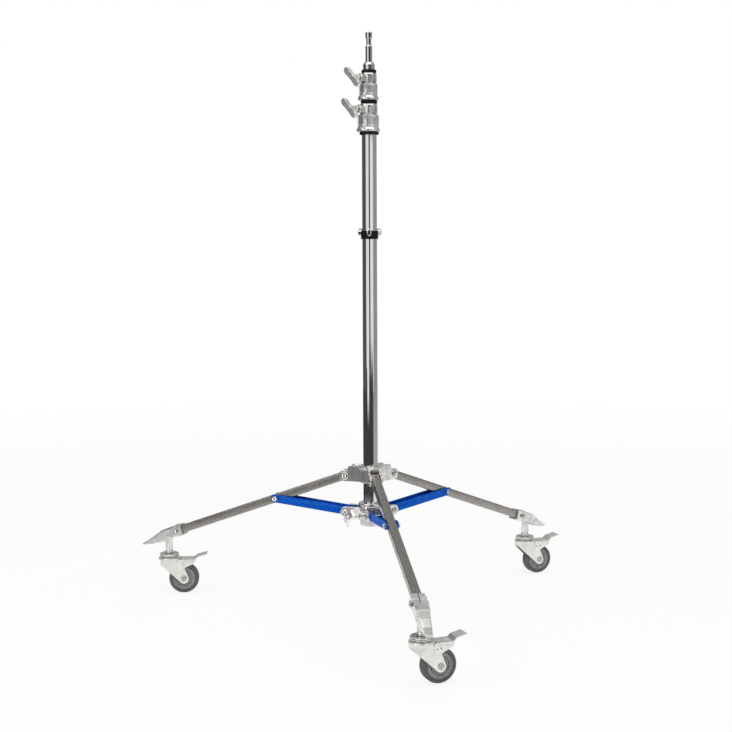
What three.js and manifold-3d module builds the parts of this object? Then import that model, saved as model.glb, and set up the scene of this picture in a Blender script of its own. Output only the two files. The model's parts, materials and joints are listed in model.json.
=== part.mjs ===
// A folding roller stand for lights: a three-section mast on three legs with braces and
// swivelling, braked casters. Millimetres and degrees, +Z up, one leg points along -Y.
// The group ends up with the middle of its footprint on the origin and the floor at zero.
import * as THREE from "three";
import { mergeVertices } from "three/addons/utils/BufferGeometryUtils.js";
import Module from "manifold-3d";

const wasm = await Module();
wasm.setup();

// How finely round shapes are divided.
const tubeSides = 20;
const smallSides = 10;
const wheelSides = 24;
const arcSides = 90;
const cornerSteps = 2;
const nutSides = 6;

// Clearances and the overrun of every cutter.
const fitGap = 0.3;
const slideGap = 0.6;
const forkEndGap = 1.3;
const cutOverrun = 6;
const weldOverlap = 0.2;
const weldDistance = 0.0001;

// Casters.
const wheelRadius = 38;
const tyreWidth = 24;
const tyreDepth = 10.5;
const tyreCornerRadius = 4;
const tyreCornerShare = 0.3;
const coreWallHalf = 8.5;
const coreBossRadius = 10;
const coreBossHalf = 13.2;
const coreStepDepth = 2.2;
const coreRimShare = 0.86;
const casterTrail = 36.5;
const forkOverWheel = 9.5;
const forkCapRadius = 27.5;
const forkCapHeight = 9;
const forkPlate = 2.5;
const forkBesideTyre = 2.2;
const forkHeel = 22.5;
const forkHeelDrop = 10.5;
const forkToe = 0.5;
const forkToeBelowAxle = 17.5;
const forkToeRear = 14;
const forkToeRearBelowAxle = 3;
const forkToeRadius = 11;
const forkBack = 0.3;
const forkBackDrop = 15.5;
const forkBackTopDrop = 3.2;
const forkNeck = 17.5;
const raceRadius = 24.2;
const raceHeight = 8.5;
const raceEdge = 2.6;
const stemRadius = 5.5;
const stemLength = 34;
const axleRadius = 4.5;
const axleHeadRadius = 7.5;
const axleHeadHeight = 3;
const pedalPlate = 2;
const pedalRearHeight = 4;
const pedalFront = 22.3;
const pedalCoverFront = 29;
const pedalRear = 66;
const pedalRise = 3;
const pedalSkirtDrop = 21;
const pedalSkirtMiddle = 35;
const pedalSkirtEnd = 62;
const pedalSkirtEndDrop = 8;
const pedalPivotReach = 27;
const pedalPivotDrop = 16.5;
const pedalPivotRadius = 3;
const pedalHoleRadius = 3.2;
const pedalHoleSpacing = 11;
const treadFront = 72;
const treadRise = 7;
const treadEnd = 96;
const treadEndRise = 13;
const treadWidth = 34;

// Feet: split sockets on the leg ends with a beak and the caster's boss.
const bossHeight = 49.9;
const bossRadius = 10;
const socketWall = 5;
const socketRoof = 3.4;
const socketFloor = 5.5;
const socketFloorRear = 2.6;
const socketInner = 45;
const socketThinInner = 20;
const socketOuter = 14;
const socketStop = 5;
const socketBandInner = 31;
const socketBandLength = 8;
const socketBandProud = 1.7;
const footSlit = 2.6;
const footSlitLength = 34;
const footBoltInner = 27;
const footBoltRadius = 3.5;
const footBoltHeadRadius = 6.5;
const footBoltHeadHeight = 4;
const beakShoulder = 35;
const beakShoulderDrop = 5.5;
const beakNeck = 55;
const beakNeckDrop = 20;
const beakTip = 72.5;
const beakTipDrop = 29.5;
const beakTipHeight = 4.5;
const beakSole = 42;
const beakSoleDrop = 28.5;
const beakHeel = 15;
const beakHeelDrop = 22;
const beakRoot = 20;
const beakWidth = 27;
const beakTipWidth = 15;

// Legs.
const legTube = 20;
const legWall = 1.6;
const legCorner = 2;
const legSlope = 20.36;
const legReach = 517;
const legInnerEnd = 13;
const pivotRadius = 62;
const pivotBoltRadius = 4;
const pivotBoltHeadRadius = 7;
const pivotBoltHeadHeight = 2.5;

// Hub casting, fixed on the column.
const hubWall = 8.2;
const hubAbovePivot = 26;
const hubBelowPivot = 14.4;
const hubRimHeight = 7;
const hubRimGrowth = 2.4;
const earWall = 4.6;
const earLobe = 13.5;
const earRoofReach = 53;
const earRoofCorner = 8;
const earRoofInnerCorner = 4;
const hubBridgeReach = 46;
const hubBridgeHeight = 9.5;

// Lock collar, sliding on the column, and its braces.
const collarWall = 8.2;
const collarBelowPivot = 86.7;
const collarHeightUp = 23;
const collarHeightDown = 33;
const collarRimHeight = 9;
const collarRimGrowth = 3.5;
const collarPivotRadius = 57;
const collarEarWall = 6;
const collarEarLobe = 14;
const collarEarHalf = 12;
const collarPinRadius = 4;
const collarPinHeadRadius = 6.5;
const collarPinHeadHeight = 3;
const braceAtLeg = 195.5;
const braceGap = 3;
const braceHeight = 20;
const bracePlate = 2;
const braceEnd = 11;
const braceInnerEnd = 26;
const braceWebOuter = 14;
const braceLipStart = 14;
const braceLipHeight = 3.2;
const braceMouthBelow = 2;
const braceBoltRadius = 4;
const braceBoltHeadRadius = 7;
const braceBoltHeadHeight = 4.5;

// Mast.
const columnRadius = 17.5;
const columnWall = 1.5;
const columnLength = 979;
const columnBelowPivot = 118;
const riserGap = 1;
const riserWall = 1.5;
const riserOverColumn = 51;
const glideHeight = 7;
const glideLip = 1.5;
const glideGap = 0.3;

// Catch ring with its posts.
const catchAbovePivot = 570;
const catchRingWall = 2.8;
const catchRingHeight = 20;
const catchPostWidth = 12;
const catchPostHeight = 18;
const catchPostReach = 13;
const catchPostLift = 6;
const catchTurn = -13.6;

// Clamp castings, lower then upper; both lean out toward their screws. Grips and skirts stand
// out from the tube that they grip, heads and the upper bushes from the riser that they guide.
const lowerGrip = 39.2;
const lowerHead = 24.7;
const lowerGripProud = 6.5;
const lowerGripLean = 3;
const lowerHeadProud = 6;
const lowerHeadLean = 1.6;
const lowerSkirtProud = 10.1;
const lowerSkirtHeight = 10.7;
const lowerBossProud = 20;
const lowerHandleOut = 25;
const lowerBushHeight = 7.5;
const lowerBushProud = 5.5;
const lowerRiserBushHeight = 8.3;
const lowerRiserBushProud = 4.4;
const upperGrip = 38.9;
const upperHead = 23.5;
const upperGripProud = 5.6;
const upperGripLean = 2.5;
const upperHeadProud = 6;
const upperHeadLean = 0.6;
const upperSkirtProud = 9.6;
const upperSkirtHeight = 11.7;
const upperBossProud = 18.5;
const upperHandleOut = 20;
const upperRiserBushHeight = 7.2;
const upperRiserBushProud = 5.1;
const clampGroove = 1.6;
const clampGrooveDepth = 1.6;
const clampSlotWidth = 17;
const clampSlotHeight = 3.2;
const clampSlotTurn = 70;
const clampSkirtRimShare = 1 / 3;
const clampRibStartShare = 1 / 2;
const clampRibTurnStep = 90;
const clampRibWidth = 3;
const clampRibDepth = 1.2;
const clampRibRoot = 2.4;
const clampRibTurn = 45;
const clampBossRadius = 10;
const clampSlit = 2;
const clampSlitTurn = 24;

// T-handles with their screws.
const handleTurn = -150;
const handleTilt = -42;
const handleHalf = 32;
const handleWidth = 16;
const handleThick = 9;
const handleNeckRadius = 7.5;
const handleScrewRadius = 4;
const handleNeckGap = 2.5;
const handleWaistShare = 0.72;
const handleTipShare = 0.55;
const collarBossProud = 21.5;
const collarBossDrop = 5.7;
const collarHandleOut = 32;
const collarHandleHalf = 34;
const collarHandleTilt = -48;
const collarHandleSweep = 14;
const sweepMiddleShare = 0.55;
const sweepBendShare = 0.22;
const sweepTipShare = 0.88;
const sweepTipBackShare = 0.6;

// Spigot on top.
const spigotRadius = 8;
const spigotLength = 69.5;
const spigotWaistRadius = 6;
const spigotWaistLength = 17;
const spigotHeadLength = 13.5;
const spigotShoulderProud = 1.3;
const spigotShoulderTopProud = 3;
const spigotShoulderHeight = 17;
const spigotBevelShare = 1 / 3;
const spigotChamfer = 1.6;
const spigotPlug = 26;

// Directions of the legs round the mast, and of the casters on the floor.
const legTurns = { front: -90, right: 30, left: 150 };
const casterTurns = { front: 10, right: 12, left: -6 };

// Finishes: colour, roughness, metalness.
const finishes = {
  chrome: [0xb4b4b2, 0.14, 1],
  plated: [0xaaa8a6, 0.3, 1],
  casting: [0xb9b4b1, 0.42, 0.85],
  brace: [0x0d4fae, 0.38, 0.25],
  black: [0x161616, 0.5, 0],
  tyre: [0x4b4845, 0.75, 0],
  core: [0x8b8890, 0.5, 0],
};

const fullTurn = 360;
const radians = THREE.MathUtils.degToRad;
const cosine = (angle) => Math.cos(radians(angle));
const sine = (angle) => Math.sin(radians(angle));

// Widths and radii that follow from the sizes above, from the mast outward.
const riserOneRadius = columnRadius - columnWall - riserGap;
const riserTwoRadius = riserOneRadius - riserWall - riserGap;
const riserLength = columnLength + riserOverColumn;
const columnBore = columnRadius + fitGap;
const hubRadius = columnBore + hubWall;
const collarRadius = columnBore + collarWall;
const catchRingRadius = columnBore + catchRingWall;
const catchPostEnd = columnRadius + catchPostReach;
const lowerBossReach = riserOneRadius + lowerBossProud;
const lowerHandleReach = lowerBossReach + lowerHandleOut;
const upperBossReach = riserTwoRadius + upperBossProud;
const upperHandleReach = upperBossReach + upperHandleOut;
const collarBossReach = columnRadius + collarBossProud;
const collarHandleReach = collarBossReach + collarHandleOut;
const spigotShoulderRadius = riserTwoRadius + spigotShoulderProud;
const spigotShoulderTopRadius = spigotRadius + spigotShoulderTopProud;
const earInner = legTube / 2 + slideGap;
const earOuter = earInner + earWall;
const socketWidth = legTube + socketWall + socketWall;
const braceWidth = legTube + braceGap + bracePlate + braceGap + bracePlate;

// Heights that follow from the sizes above, from the floor up.
const forkCapBottom = 2 * wheelRadius + forkOverWheel;
const raceBottom = forkCapBottom + forkCapHeight + fitGap;
const raceTop = raceBottom + raceHeight;
const bossBottom = raceTop + fitGap;
const legHeightAtStem = bossBottom + bossHeight;
const pivotHeight = legHeightAtStem + legReach * sine(legSlope);
const stemReach = pivotRadius + legReach * cosine(legSlope);
const braceOuter = [pivotRadius + braceAtLeg * cosine(legSlope), pivotHeight - braceAtLeg * sine(legSlope)];
const braceInner = [collarPivotRadius, pivotHeight - collarBelowPivot];
const braceRun = braceOuter[0] - braceInner[0];
const braceRise = braceOuter[1] - braceInner[1];
const braceLength = Math.hypot(braceRun, braceRise);
const braceSlope = THREE.MathUtils.radToDeg(Math.atan2(braceRise, braceRun));
const columnBottom = pivotHeight - columnBelowPivot;
const columnTop = columnBottom + columnLength;
const lowerClampTop = columnTop + lowerHead;
const riserOneTop = lowerClampTop + fitGap + lowerRiserBushHeight + fitGap + upperGrip;
const upperClampTop = riserOneTop + upperHead;
const riserTwoTop = upperClampTop + fitGap + upperRiserBushHeight;

// Turns a closed mesh into a solid that can be joined and cut.
function solidOf(geometry) {
  const bare = new THREE.BufferGeometry();
  bare.setAttribute("position", geometry.getAttribute("position"));
  if (geometry.index) {
    bare.setIndex(geometry.index);
  }
  const merged = mergeVertices(bare, weldDistance);
  const corners = [];
  for (let at = 0; at < merged.index.count; at += 3) {
    const [a, b, c] = [0, 1, 2].map((step) => merged.index.getX(at + step));
    if (a !== b && b !== c && c !== a) {
      corners.push(a, b, c);
    }
  }
  const points = new Float32Array(merged.getAttribute("position").array);
  if (signedVolume(points, corners) < 0) {
    corners.reverse();
  }
  const mesh = new wasm.Mesh({ numProp: 3, vertProperties: points, triVerts: new Uint32Array(corners) });
  return new wasm.Manifold(mesh);
}

// Six times the volume inside a triangle list, negative when the triangles face inward.
function signedVolume(points, corners) {
  const [a, b, c] = [new THREE.Vector3(), new THREE.Vector3(), new THREE.Vector3()];
  let total = 0;
  for (let at = 0; at < corners.length; at += 3) {
    a.fromArray(points, 3 * corners[at]);
    b.fromArray(points, 3 * corners[at + 1]);
    c.fromArray(points, 3 * corners[at + 2]);
    total += a.dot(b.cross(c));
  }
  return total;
}

// Gives a solid back as a mesh geometry.
function geometryOf(solid) {
  const mesh = solid.getMesh();
  const geometry = new THREE.BufferGeometry();
  geometry.setAttribute("position", new THREE.Float32BufferAttribute(mesh.vertProperties, 3));
  geometry.setIndex(new THREE.BufferAttribute(new Uint32Array(mesh.triVerts), 1));
  geometry.computeVertexNormals();
  return geometry;
}

// Joins shapes and takes the cutters away; both are lists of geometries.
function shaped(parts, cutters = []) {
  let solid = solidOf(parts[0]);
  for (const part of parts.slice(1)) {
    solid = solid.add(solidOf(part));
  }
  for (const cutter of cutters) {
    solid = solid.subtract(solidOf(cutter));
  }
  return geometryOf(solid);
}

// Radius of a many-sided hole whose flats clear a round bar of the given radius.
function clearOf(radius) {
  return (radius + fitGap) / Math.cos(Math.PI / smallSides);
}

// A round bar along Z.
function bar(radius, bottom, top, sides = smallSides) {
  const geometry = new THREE.CylinderGeometry(radius, radius, top - bottom, sides);
  geometry.rotateX(Math.PI / 2);
  return geometry.translate(0, 0, (top + bottom) / 2);
}

// A round bar along Y through the point (x, z).
function crossBar(radius, x, z, from, to, sides = smallSides) {
  const geometry = new THREE.CylinderGeometry(radius, radius, to - from, sides);
  return geometry.translate(x, (from + to) / 2, z);
}

// A cutter for a cross hole that clears a round bar, through a piece with the given half width.
function crossHole(radius, x, z, half) {
  return crossBar(clearOf(radius), x, z, -half - cutOverrun, half + cutOverrun);
}

// A round bar along X at a height.
function reachBar(radius, from, to, z, sides = smallSides) {
  const geometry = new THREE.CylinderGeometry(radius, radius, to - from, sides);
  geometry.rotateZ(Math.PI / 2);
  return geometry.translate((from + to) / 2, 0, z);
}

// A box between two corners.
function block(from, to) {
  const size = to.map((value, axis) => value - from[axis]);
  const geometry = new THREE.BoxGeometry(...size);
  return geometry.translate(...from.map((value, axis) => value + size[axis] / 2));
}

// Points of radius and height turned round Z; the outline closes on itself or on the axis.
function turnedRound(points, sides = tubeSides) {
  const outline = points.map(([radius, height]) => new THREE.Vector2(radius, height));
  return new THREE.LatheGeometry(outline, sides).rotateX(Math.PI / 2);
}

// A ring-shaped outline turned round Z, closed from its last point to its first.
function turnedRing(points, sides = tubeSides) {
  return turnedRound([...points, points[0]], sides);
}

// An outline of points (x, z, corner radius) with its corners rounded.
function roundedOutline(corners) {
  const shape = new THREE.Shape();
  const count = corners.length;
  corners.forEach(([x, z, radius = 0], at) => {
    const corner = new THREE.Vector2(x, z);
    if (radius === 0) {
      shape[at === 0 ? "moveTo" : "lineTo"](x, z);
      return;
    }
    const before = new THREE.Vector2(...corners[(at + count - 1) % count].slice(0, 2)).sub(corner);
    const after = new THREE.Vector2(...corners[(at + 1) % count].slice(0, 2)).sub(corner);
    const half = Math.abs(before.angleTo(after)) / 2;
    const setBack = Math.min(radius / Math.tan(half), before.length() / 2, after.length() / 2);
    const used = setBack * Math.tan(half);
    const middle = before.clone().normalize().add(after.clone().normalize()).normalize();
    const centre = corner.clone().addScaledVector(middle, used / Math.sin(half));
    const first = corner.clone().addScaledVector(before.normalize(), setBack).sub(centre);
    const last = corner.clone().addScaledVector(after.normalize(), setBack).sub(centre);
    let sweep = last.angle() - first.angle();
    if (sweep > Math.PI) {
      sweep -= 2 * Math.PI;
    }
    if (sweep < -Math.PI) {
      sweep += 2 * Math.PI;
    }
    for (let step = 0; step <= cornerSteps; step += 1) {
      const turn = first.angle() + (sweep * step) / cornerSteps;
      const point = [centre.x + used * Math.cos(turn), centre.y + used * Math.sin(turn)];
      shape[at === 0 && step === 0 ? "moveTo" : "lineTo"](...point);
    }
  });
  return shape;
}

// A plate whose outline lies in the XZ plane and whose thickness runs along Y.
function plate(corners, from, to) {
  const settings = { depth: to - from, bevelEnabled: false, steps: 1 };
  const geometry = new THREE.ExtrudeGeometry(roundedOutline(corners), settings);
  geometry.rotateX(Math.PI / 2);
  return geometry.translate(0, to, 0);
}

// Two plates mirrored about the middle plane, from one distance to another.
function platePair(corners, inner, outer) {
  return [plate(corners, inner, outer), plate(corners, -outer, -inner)];
}

// A copy of a geometry turned about Z.
function turned(geometry, angle) {
  return geometry.clone().rotateZ(radians(angle));
}

// A bolt along Y with a head at one end and a nut at the other, middle at the origin.
function bolt(radius, headRadius, headHeight, half, sides = nutSides) {
  const from = -half - fitGap;
  const to = half + fitGap;
  const shank = crossBar(radius, 0, 0, from - headHeight, to + headHeight);
  const head = crossBar(headRadius, 0, 0, from - headHeight, from, smallSides);
  const nut = crossBar(headRadius, 0, 0, to, to + headHeight, sides);
  return shaped([shank, head, nut]);
}

const stand = new THREE.Group();

// Adds one named piece with a finish of its own.
function piece(parent, name, geometry, finish) {
  const [color, roughness, metalness] = finishes[finish];
  const material = new THREE.MeshStandardMaterial({ color, roughness, metalness });
  const mesh = new THREE.Mesh(geometry, material);
  mesh.name = name;
  parent.add(mesh);
  return mesh;
}

// A group turned about the mast, and one placed inside another.
function turnedGroup(parent, angle) {
  const group = new THREE.Group();
  group.rotation.z = radians(angle);
  parent.add(group);
  return group;
}

function placedGroup(parent, x, z, tilt = 0) {
  const group = new THREE.Group();
  group.position.set(x, 0, z);
  group.rotation.y = radians(tilt);
  parent.add(group);
  return group;
}

// A tube along Z.
function tube(radius, wall, bottom, top) {
  const inner = radius - wall;
  return turnedRing([[inner, bottom], [radius, bottom], [radius, top], [inner, top]]);
}

// A plain ring round a tube.
function bush(outer, boreRadius, bottom, height) {
  const top = bottom + height;
  return turnedRing([[boreRadius, bottom], [outer, bottom], [outer, top], [boreRadius, top]]);
}

// A clamp casting that grips a tube below its slot and a thinner tube above it.
function clampCasting(size) {
  const { seat, grip, head, gripRadius, headRadius, skirtRadius, skirtHeight } = size;
  const { tubeRadius, riserRadius, bossReach, bossHeightUp, gripLean, headLean } = size;
  const bottom = seat - grip;
  const top = seat + head;
  const lower = turnedRound([
    [0, bottom],
    [skirtRadius, bottom],
    [skirtRadius, bottom + skirtHeight * clampSkirtRimShare],
    [gripRadius, bottom + skirtHeight],
    [gripRadius, seat - clampGroove / 2],
    [0, seat - clampGroove / 2],
  ]);
  const upper = bar(headRadius, seat + clampGroove / 2, top, tubeSides);
  const waist = bar(headRadius - clampGrooveDepth, seat - clampGroove, seat + clampGroove, tubeSides);
  const outward = [cosine(handleTurn), sine(handleTurn)];
  lower.translate(gripLean * outward[0], gripLean * outward[1], 0);
  upper.translate(headLean * outward[0], headLean * outward[1], 0);
  waist.translate(headLean * outward[0], headLean * outward[1], 0);
  const ribs = [];
  for (let turn = clampRibTurn; turn < fullTurn; turn += clampRibTurnStep) {
    const upright = block(
      [gripRadius - clampRibRoot, -clampRibWidth / 2, bottom + skirtHeight * clampRibStartShare],
      [gripRadius + clampRibDepth, clampRibWidth / 2, seat - clampGroove],
    );
    const shape = turned(upright, handleTurn + turn);
    shape.translate(gripLean * outward[0], gripLean * outward[1], 0);
    ribs.push(shape);
  }
  const bossAt = seat + bossHeightUp;
  const bossInner = riserRadius + slideGap;
  const boss = turned(reachBar(clampBossRadius, bossInner, bossReach, bossAt), handleTurn);
  const screw = turned(reachBar(clearOf(handleScrewRadius), 0, bossReach + cutOverrun, bossAt), handleTurn);
  const bore = bar(riserRadius + fitGap, bottom, top + cutOverrun, tubeSides);
  const seatBore = bar(tubeRadius + fitGap, bottom - cutOverrun, seat + fitGap, tubeSides);
  const slotReach = skirtRadius + cutOverrun;
  const slot = turned(
    block(
      [riserRadius, -clampSlotWidth / 2, seat + fitGap],
      [slotReach, clampSlotWidth / 2, seat + fitGap + clampSlotHeight],
    ),
    handleTurn + clampSlotTurn,
  );
  const slit = turned(
    block([0, -clampSlit / 2, seat + clampGroove], [slotReach, clampSlit / 2, top + cutOverrun]),
    handleTurn + clampSlotTurn + clampSlitTurn,
  );
  return shaped([lower, waist, upper, ...ribs, boss], [bore, seatBore, screw, slot, slit]);
}

// A T-handle in one piece with its screw, which points back to the mast along -X.
function handle(cross, screwTip, bossReach, handleReach) {
  const neckEnd = handleReach + handleThick / 2 + fitGap;
  const neck = reachBar(handleNeckRadius, bossReach + handleNeckGap, neckEnd, 0);
  const screw = reachBar(handleScrewRadius, screwTip, handleReach, 0);
  return shaped([cross.translate(handleReach, 0, 0), neck, screw]);
}

// The straight cross bar of the two clamps' handles.
function straightCross() {
  const half = handleHalf;
  const wide = handleWidth / 2;
  const wings = [
    [-half, -wide * handleTipShare, wide / 2],
    [-half * handleWaistShare, -wide, wide],
    [0, -wide * handleWaistShare, wide],
    [half * handleWaistShare, -wide, wide],
    [half, -wide * handleTipShare, wide / 2],
    [half, wide * handleTipShare, wide / 2],
    [half * handleWaistShare, wide, wide],
    [0, wide * handleWaistShare, wide],
    [-half * handleWaistShare, wide, wide],
    [-half, wide * handleTipShare, wide / 2],
  ];
  const cross = plate(wings, -handleThick / 2, handleThick / 2).rotateZ(-Math.PI / 2);
  return cross.rotateX(radians(handleTilt));
}

// The collar's cross bar, whose wings sweep back toward the mast.
function sweptCross() {
  const [half, sweep, thick] = [collarHandleHalf, collarHandleSweep, handleThick];
  const bend = sweep * sweepBendShare;
  const tipBack = -sweep - thick * sweepTipBackShare;
  const crescent = [
    [-sweep, -half],
    [thick / 2 - bend, -half * sweepMiddleShare],
    [thick / 2, 0],
    [thick / 2 - bend, half * sweepMiddleShare],
    [-sweep, half],
    [tipBack, half * sweepTipShare],
    [-thick / 2 - bend, half * sweepMiddleShare],
    [-thick / 2, 0],
    [-thick / 2 - bend, -half * sweepMiddleShare],
    [tipBack, -half * sweepTipShare],
  ];
  return plate(crescent, -handleWidth / 2, handleWidth / 2).rotateX(radians(collarHandleTilt));
}

// Mast tubes and what is fixed on them.
const column = tube(columnRadius, columnWall, columnBottom, columnTop);
piece(stand, "column", column, "chrome");
const riserOneBottom = riserOneTop - riserLength;
piece(stand, "riser_1", tube(riserOneRadius, riserWall, riserOneBottom, riserOneTop), "chrome");
const riserTwoBottom = riserTwoTop - riserLength;
piece(stand, "riser_2", tube(riserTwoRadius, riserWall, riserTwoBottom, riserTwoTop), "chrome");

// Plastic glides at the risers' lower ends, each running in the next tube out.
function glide(tubeRadius, wall, outerRadius, bottom) {
  const bore = tubeRadius - wall - glideLip;
  return bush(outerRadius - glideGap, bore, bottom - fitGap - glideHeight, glideHeight);
}
const glideOne = glide(riserOneRadius, riserWall, columnRadius - columnWall, riserOneBottom);
piece(stand, "riser_1_glide", glideOne, "black");
const glideTwo = glide(riserTwoRadius, riserWall, riserOneRadius - riserWall, riserTwoBottom);
piece(stand, "riser_2_glide", glideTwo, "black");

const lowerHandleAt = lowerHead / 2;
const lowerClamp = clampCasting({
  seat: columnTop,
  grip: lowerGrip,
  head: lowerHead,
  gripRadius: columnRadius + lowerGripProud,
  headRadius: riserOneRadius + lowerHeadProud,
  gripLean: lowerGripLean,
  headLean: lowerHeadLean,
  skirtRadius: columnRadius + lowerSkirtProud,
  skirtHeight: lowerSkirtHeight,
  tubeRadius: columnRadius,
  riserRadius: riserOneRadius,
  bossReach: lowerBossReach,
  bossHeightUp: lowerHandleAt,
});
piece(stand, "lower_clamp", lowerClamp, "casting");
const lowerBushAt = columnTop - lowerGrip - fitGap - lowerBushHeight;
const lowerBush = bush(columnRadius + lowerBushProud, columnBore, lowerBushAt, lowerBushHeight);
piece(stand, "lower_clamp_bush", lowerBush, "black");
const lowerRiserBush = bush(
  riserOneRadius + lowerRiserBushProud,
  riserOneRadius + fitGap,
  lowerClampTop + fitGap,
  lowerRiserBushHeight,
);
piece(stand, "lower_riser_bush", lowerRiserBush, "black");

const upperHandleAt = upperHead / 2;
const upperClamp = clampCasting({
  seat: riserOneTop,
  grip: upperGrip,
  head: upperHead,
  gripRadius: riserOneRadius + upperGripProud,
  headRadius: riserTwoRadius + upperHeadProud,
  gripLean: upperGripLean,
  headLean: upperHeadLean,
  skirtRadius: riserOneRadius + upperSkirtProud,
  skirtHeight: upperSkirtHeight,
  tubeRadius: riserOneRadius,
  riserRadius: riserTwoRadius,
  bossReach: upperBossReach,
  bossHeightUp: upperHandleAt,
});
piece(stand, "upper_clamp", upperClamp, "casting");
const upperRiserBush = bush(
  riserTwoRadius + upperRiserBushProud,
  riserTwoRadius + fitGap,
  upperClampTop + fitGap,
  upperRiserBushHeight,
);
piece(stand, "upper_riser_bush", upperRiserBush, "black");

const handleSide = turnedGroup(stand, handleTurn);
const lowerHandleGroup = placedGroup(handleSide, 0, columnTop + lowerHandleAt);
const lowerHandle = handle(straightCross(), riserOneRadius + fitGap, lowerBossReach, lowerHandleReach);
piece(lowerHandleGroup, "lower_handle", lowerHandle, "casting");
const upperHandleGroup = placedGroup(handleSide, 0, riserOneTop + upperHandleAt);
const upperHandle = handle(straightCross(), riserTwoRadius + fitGap, upperBossReach, upperHandleReach);
piece(upperHandleGroup, "upper_handle", upperHandle, "casting");
const collarHandleGroup = placedGroup(handleSide, 0, braceInner[1] - collarBossDrop);
const collarHandle = handle(sweptCross(), columnRadius + fitGap, collarBossReach, collarHandleReach);
piece(collarHandleGroup, "collar_handle", collarHandle, "casting");

// Spigot: a plug inside riser 2, a chamfered shoulder and the pin with its undercut.
const shoulderBottom = riserTwoTop + fitGap;
const shoulderTop = shoulderBottom + spigotShoulderHeight;
const spigotTop = shoulderTop + spigotLength;
const waistTop = spigotTop - spigotHeadLength;
const waistBottom = waistTop - spigotWaistLength;
const spigotPlugRadius = riserTwoRadius - riserWall - fitGap;
const waistEase = spigotRadius - spigotWaistRadius;
const spigot = turnedRound([
  [0, riserTwoTop - spigotPlug],
  [spigotPlugRadius, riserTwoTop - spigotPlug],
  [spigotPlugRadius, shoulderBottom],
  [spigotShoulderRadius, shoulderBottom],
  [spigotShoulderRadius, shoulderTop - spigotShoulderHeight * spigotBevelShare],
  [spigotShoulderTopRadius, shoulderTop],
  [spigotRadius, shoulderTop],
  [spigotRadius, waistBottom - waistEase],
  [spigotWaistRadius, waistBottom],
  [spigotWaistRadius, waistTop],
  [spigotRadius, waistTop],
  [spigotRadius, spigotTop - spigotChamfer],
  [spigotRadius - spigotChamfer, spigotTop],
  [0, spigotTop],
]);
piece(stand, "spigot", spigot, "chrome");

// Catch ring with three oval posts.
const catchBottom = pivotHeight + catchAbovePivot;
const ring = bush(catchRingRadius, columnBore, catchBottom, catchRingHeight);
const catchPostAt = catchBottom + catchRingHeight / 2 + catchPostLift;
const postHoles = [];
for (const [leg, turn] of Object.entries(legTurns)) {
  const post = reachBar(catchPostWidth / 2, columnRadius + slideGap, catchPostEnd, 0);
  post.scale(1, 1, catchPostHeight / catchPostWidth).translate(0, 0, catchPostAt);
  const hole = reachBar(catchPostWidth / 2 + fitGap, columnRadius, catchPostEnd, 0);
  hole.scale(1, 1, catchPostHeight / catchPostWidth).translate(0, 0, catchPostAt);
  postHoles.push(turned(hole, turn + catchTurn));
  piece(stand, `catch_post_${leg}`, shaped([turned(post, turn + catchTurn)]), "chrome");
}
piece(stand, "catch_ring", shaped([ring], postHoles), "black");

// Hub casting: a barrel on the column and a pair of ears for each leg.
const hubBottom = pivotHeight - hubBelowPivot;
const hubTop = pivotHeight + hubAbovePivot;
const hubBarrel = turnedRing([
  [columnBore, hubBottom],
  [hubRadius, hubBottom],
  [hubRadius, hubTop - hubRimHeight],
  [hubRadius + hubRimGrowth, hubTop - hubRimHeight + hubRimGrowth],
  [hubRadius + hubRimGrowth, hubTop],
  [columnBore, hubTop],
]);
const lobeReach = pivotRadius + earLobe;
const lobeTop = pivotHeight + earLobe;
const hubEar = [
  [columnRadius, hubBottom],
  [lobeReach, hubBottom, earLobe],
  [lobeReach, lobeTop, earLobe],
  [earRoofReach, lobeTop, earRoofInnerCorner],
  [earRoofReach, hubTop, earRoofCorner],
  [columnRadius, hubTop],
];
const hubParts = [hubBarrel];
const hubCuts = [];
for (const turn of Object.values(legTurns)) {
  for (const ear of platePair(hubEar, earInner, earOuter)) {
    hubParts.push(turned(ear, turn));
  }
  const bridge = block(
    [columnRadius, -earOuter, hubTop - hubBridgeHeight],
    [hubBridgeReach, earOuter, hubTop],
  );
  hubParts.push(turned(bridge, turn));
  hubCuts.push(turned(crossHole(pivotBoltRadius, pivotRadius, pivotHeight, earOuter), turn));
}
hubCuts.push(bar(columnBore, hubBottom - cutOverrun, hubTop + cutOverrun, tubeSides));
piece(stand, "hub_casting", shaped(hubParts, hubCuts), "casting");

// Lock collar: a barrel sliding on the column, a pair of ears for each brace and the screw's boss.
const collarAt = braceInner[1];
const collarTop = collarAt + collarHeightUp;
const collarBottom = collarAt - collarHeightDown;
const collarBarrel = turnedRing([
  [columnBore, collarBottom],
  [collarRadius, collarBottom],
  [collarRadius, collarTop - collarRimHeight],
  [collarRadius + collarRimGrowth, collarTop - collarRimHeight + collarRimGrowth],
  [collarRadius + collarRimGrowth, collarTop],
  [columnBore, collarTop],
]);
const collarEarInner = braceWidth / 2 + slideGap;
const collarEarOuter = collarEarInner + collarEarWall;
const collarEarReach = collarPivotRadius + collarEarLobe;
const collarEar = [
  [columnRadius, collarAt - collarEarHalf - collarRimGrowth],
  [collarRadius, collarAt - collarEarHalf - collarRimGrowth, collarRimGrowth],
  [collarEarReach, collarAt - collarEarHalf, collarEarHalf],
  [collarEarReach, collarAt + collarEarHalf, collarEarHalf],
  [columnRadius, collarAt + collarEarHalf],
];
const collarParts = [collarBarrel];
const collarCuts = [];
for (const turn of Object.values(legTurns)) {
  for (const ear of platePair(collarEar, collarEarInner, collarEarOuter)) {
    collarParts.push(turned(ear, turn));
  }
  const pinHole = crossHole(collarPinRadius, collarPivotRadius, collarAt, collarEarOuter);
  collarCuts.push(turned(pinHole, turn));
}
const collarBossAt = collarAt - collarBossDrop;
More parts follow.
